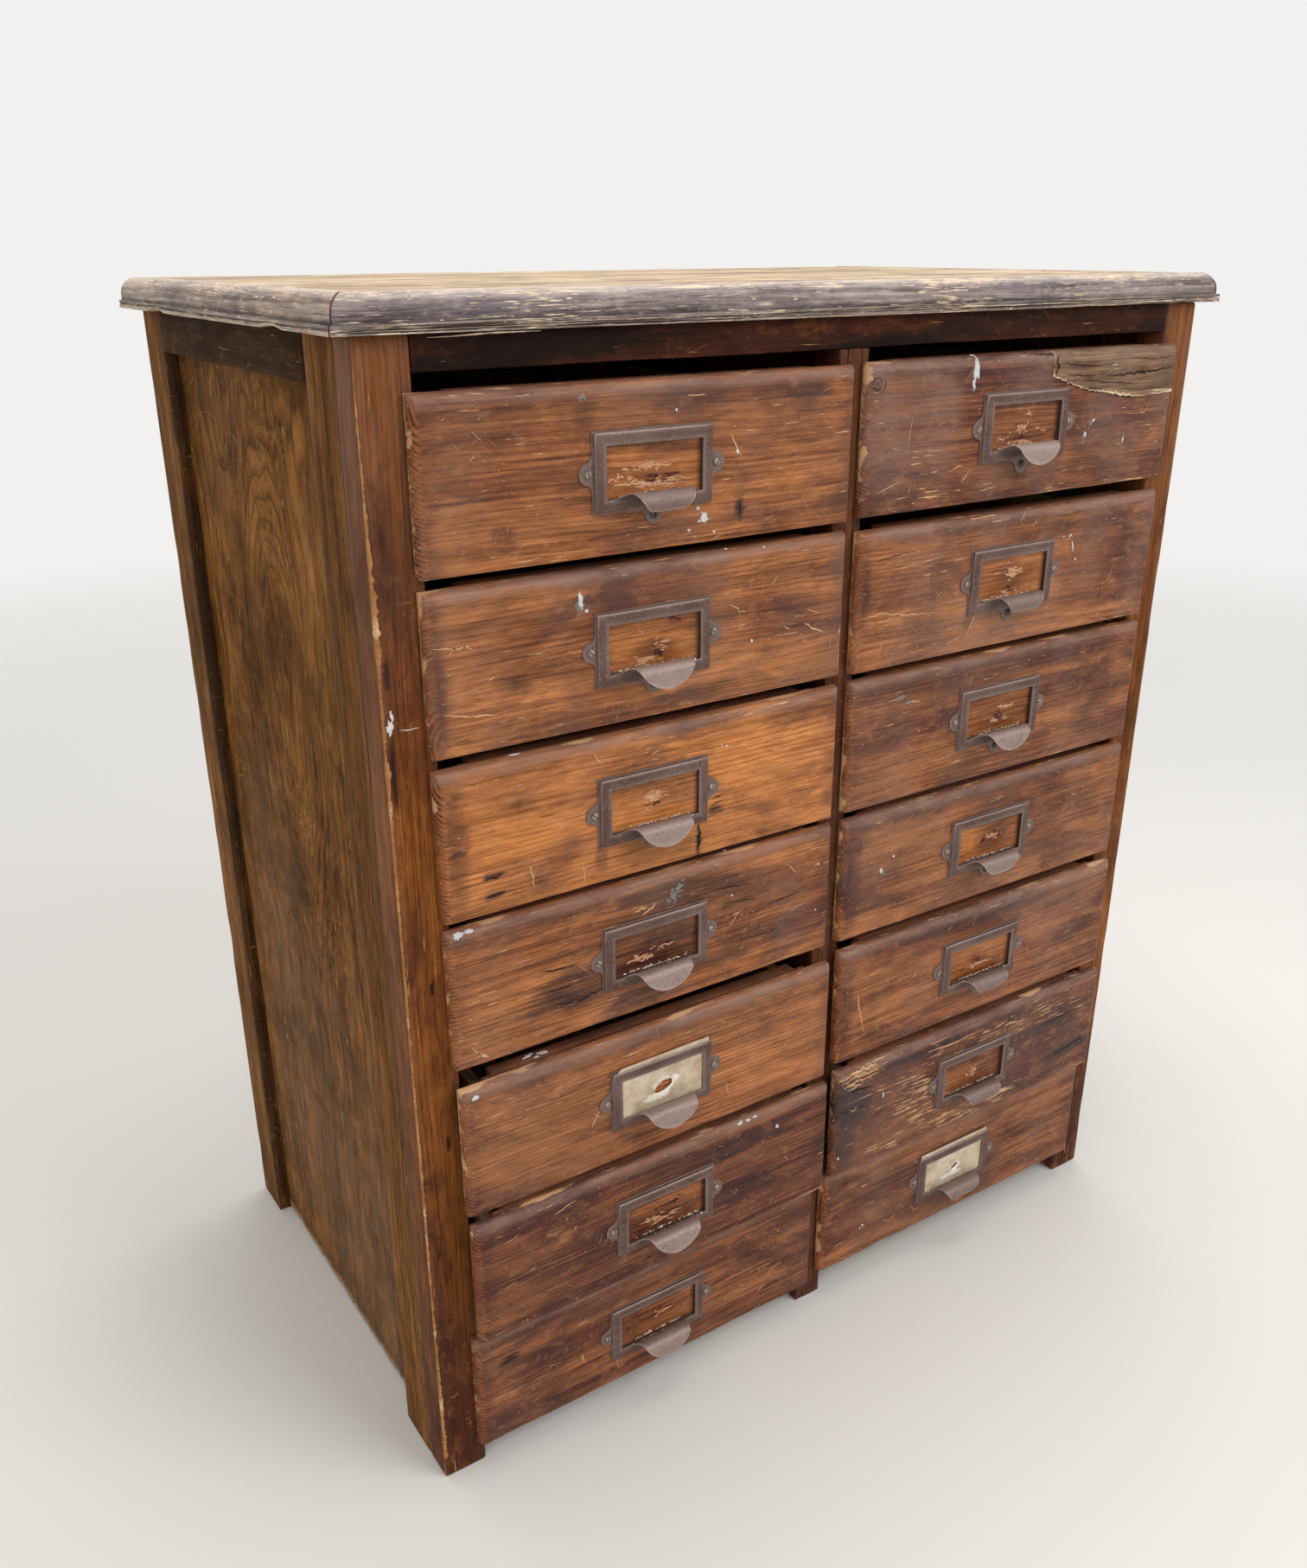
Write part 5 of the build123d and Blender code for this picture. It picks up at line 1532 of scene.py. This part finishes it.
def strewn(key, middle, rng, area):
    # a place on the front, and whether it's clear of the pull
    side, foot, head = looseLook[area]
    x, z = rng.uniform(-side, side), rng.uniform(foot, head)
    at = (pullMiddle(key) - middle) / mm
    wide, tall = looseLook["pullClear"]
    return x, z, abs(x - at[0]) > wide or abs(z - at[2]) > tall


def marksOnFront(key, number, middle, body):
    given = {**plainFront, **fronts[key]}
    rng = np.random.default_rng(number + 900)
    pale = ribbons(middle, scrapes.get(key, []), rng, swell=1.4)
    for _ in range(looseLook["scrapes"]):
        x, z, clear = strewn(key, middle, rng, "scrapeArea")
        long, lean = rng.exponential(3.2) + 1.2, rng.normal(0.25, 0.6)
        if clear:
            end = (x + long * math.cos(lean), z + long * math.sin(lean))
            pale.append(ribbon(middle, rng.uniform(0.2, 0.45), [(x, z), end], rng))
    for _ in range(looseLook["specks"]):
        x, z, clear = strewn(key, middle, rng, "speckArea")
        if clear:
            w, h, tilt = rng.uniform(0.3, 0.9), rng.uniform(0.2, 0.5), rng.normal(0, 15)
            pale.append(blot(middle, x, z, w, h, tilt, number, 0.12))
    dark = ribbons(middle, streaksAndShadows.get(key, []), rng, 0.1)
    torn = slivers(pullMiddle(key), given["torn"], rng, 0.16)
    glued = slivers(pullMiddle(key), given["glue"], rng, 0.2)
    white = [blot(middle, *spot, number) for spot in drips.get(key, [])]
    bloom = [speck for spot in smudges.get(key, []) for speck in mottled(middle, spot, rng)]
    layers = (("scrapedWood", pale), ("darkStreak", dark), ("paintDrip", white), ("dampBloom", bloom),
              ("tornFibre", torn), ("oldGlue", glued))
    finish = [name for name, parts in layers for part in parts for _ in part[1]]
    makePiece(pieceName(key, "Marks"), [part for _, parts in layers for part in parts], body, finish, 60)


splinter = {
    "proud": 1.0, "thick": 1.6, "from": 45.5, "round": 7,
    "splits": [
        (1.5, (80, 32), (102, 32.2), (124.5, 33), (142, 33.4), (158, 35.5)), (0.7, (26, 44), (60, 40), (90, 41)),
        (0.7, (52, 30), (84, 27), (120, 24)), (0.7, (104, 44), (136, 42), (158, 43)), (1.2, (118, 33), (126, 31.5)),
        (1.6, (24, 48.5), (22, 45), (25, 41), (21, 37), (23, 33.5)), (0.6, (34, 35), (60, 33), (78, 34)),
        (0.6, (96, 22), (120, 19.5), (150, 20)),
    ],
    "line": [(20, 34), (32, 30.5), (45, 26.5), (60, 22.5), (83, 19), (100, 16.3), (118, 14.5), (140, 14.9),
             (161.5, 16)],
}


def brokenStrip(key, middle, body):
    # the upper right of this front has split off along the grain and sits proud
    look, top, turn = splinter, splinter["from"], splinter["round"]
    line = np.array(look["line"], float)
    xs = np.arange(line[0][0], line[-1][0], 1.1)
    edge = np.interp(xs, line[:, 0], line[:, 1]) + 1.2 * wander(xs, 0.32, 4) + 0.8 * wander(xs, 1.3, 7)
    rings = []
    for x, start in zip(xs, edge):
        proud = look["proud"] * min((x - xs[0]) / 10 + 0.15, 1.0)
        face = [(0.1 + proud * (0.35 + 0.65 * max(0.0, 1 - (z - start) / 14)), z) for z in np.linspace(start, top, 12)]
        face += [(0.1 + proud * 0.35 - turn * (1 - math.cos(a)), top + turn * math.sin(a))
                 for a in math.pi / 2 * np.arange(1, 7) / 7]
        under = [(out - look["thick"], z + (0.4 if z < 45 else -0.8)) for out, z in face[::-1]]
        rings.append([facePlaced(middle, x, out, z) for out, z in face + under])
    points, faces = skin(np.array(rings))
    level = (points[:, 2] - middle[2]) / mm
    x = (points[:, 0] - middle[0]) / mm
    over = level - np.interp(x, xs, edge)
    slow = ripple(points, 30.0, 3)
    marks = {
        "grain": grainMarks(points, 0, 77, (0.07, 0.12), (55, 85)),
        "worn": clamped(np.exp(-over / 1.6) * 0.5 + np.exp((xs[0] - x) / 3) * 0.3 + slow * 0.2, 0, 0.9),
        "honey": clamped(0.2 + slow * 0.5, 0, 0.6),
        "plum": clamped(0.25 + slow - np.exp(-over / 4), 0, 0.6),
        "stain": clamped(slow - 0.15, 0, 0.3),
        "dusty": clamped(0.3 + slow * 0.5 + clamped((level - 43) / 6, 0, 0.4)),
        "flecks": np.full(len(points), 0.2),
    }
    makePiece(pieceName(key, "BrokenStrip"), [(points, faces, marks)], body, "splitWood")
    splits = ribbons(middle, look["splits"], np.random.default_rng(77), 1.05)
    makePiece(pieceName(key, "Splits"), splits, body, "darkStreak", 60)


def postArris():
    # the outer arris is worn through to pale wood: one jagged strip bent round it, wider on the front face
    low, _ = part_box("left_front_post")
    rng = np.random.default_rng(71)
    heights, widths = np.array(postLook["arris"]).T
    zs = spaced(heights[-1], heights[0], 1.6 * mm)
    wide = np.interp(zs, heights[::-1], widths[::-1]) * (1 + 0.5 * wander(zs, 90, 2))
    wide = wide * rng.uniform(0.55, 1.25, len(zs)) * mm
    turn = postLook["round"]
    reach = turn + 0.1 * mm
    rows = []
    for z, w in zip(zs, wide):
        row = []
        for run in np.linspace(-0.35 * w, w, 6):
            angle = run / turn + math.pi / 4  # round the corner: negative on the side face, positive on the front
            if angle < 0:
                x, y = turn - reach, turn - angle * turn
            elif angle < math.pi / 2:
                x, y = turn - reach * math.cos(angle), turn - reach * math.sin(angle)
            else:
                x, y = turn + (angle - math.pi / 2) * turn, turn - reach
            row.append((low[0] + x, low[1] + y, z))
        rows.append(row)
    points, faces, _ = openStrip(rows)
    worn = clamped(wander(points[:, 2], 60, 5) * 0.8, 0, 0.6)
    makePiece("wornArris", [(points, faces, {"worn": worn})], "carcass", "wornEdge", 60)
    face = np.array((low[0], low[1], postLook["paintFrom"]))
    paint = [blot(face, *spot, 5, 0.4) for spot in postLook["paint"]]
    paint.append(ribbon(face, 0.6, [(11, 12), (17, 11), (24, 11.5)], rng))
    makePiece("postPaint", paint, "carcass", "paintDrip", 60)


postArris()
for number, key in enumerate(fronts, 1):
    middle, body = drawerFront(key, number)
    drawerBox(key, number, body)
    pullPiece(key, number, body)
    marksOnFront(key, number, middle, body)
    if key in cards:
        cardPiece(key, number, body)
    if key == "right_1":
        brokenStrip(key, middle, body)
print("drawers made:", len(fronts))
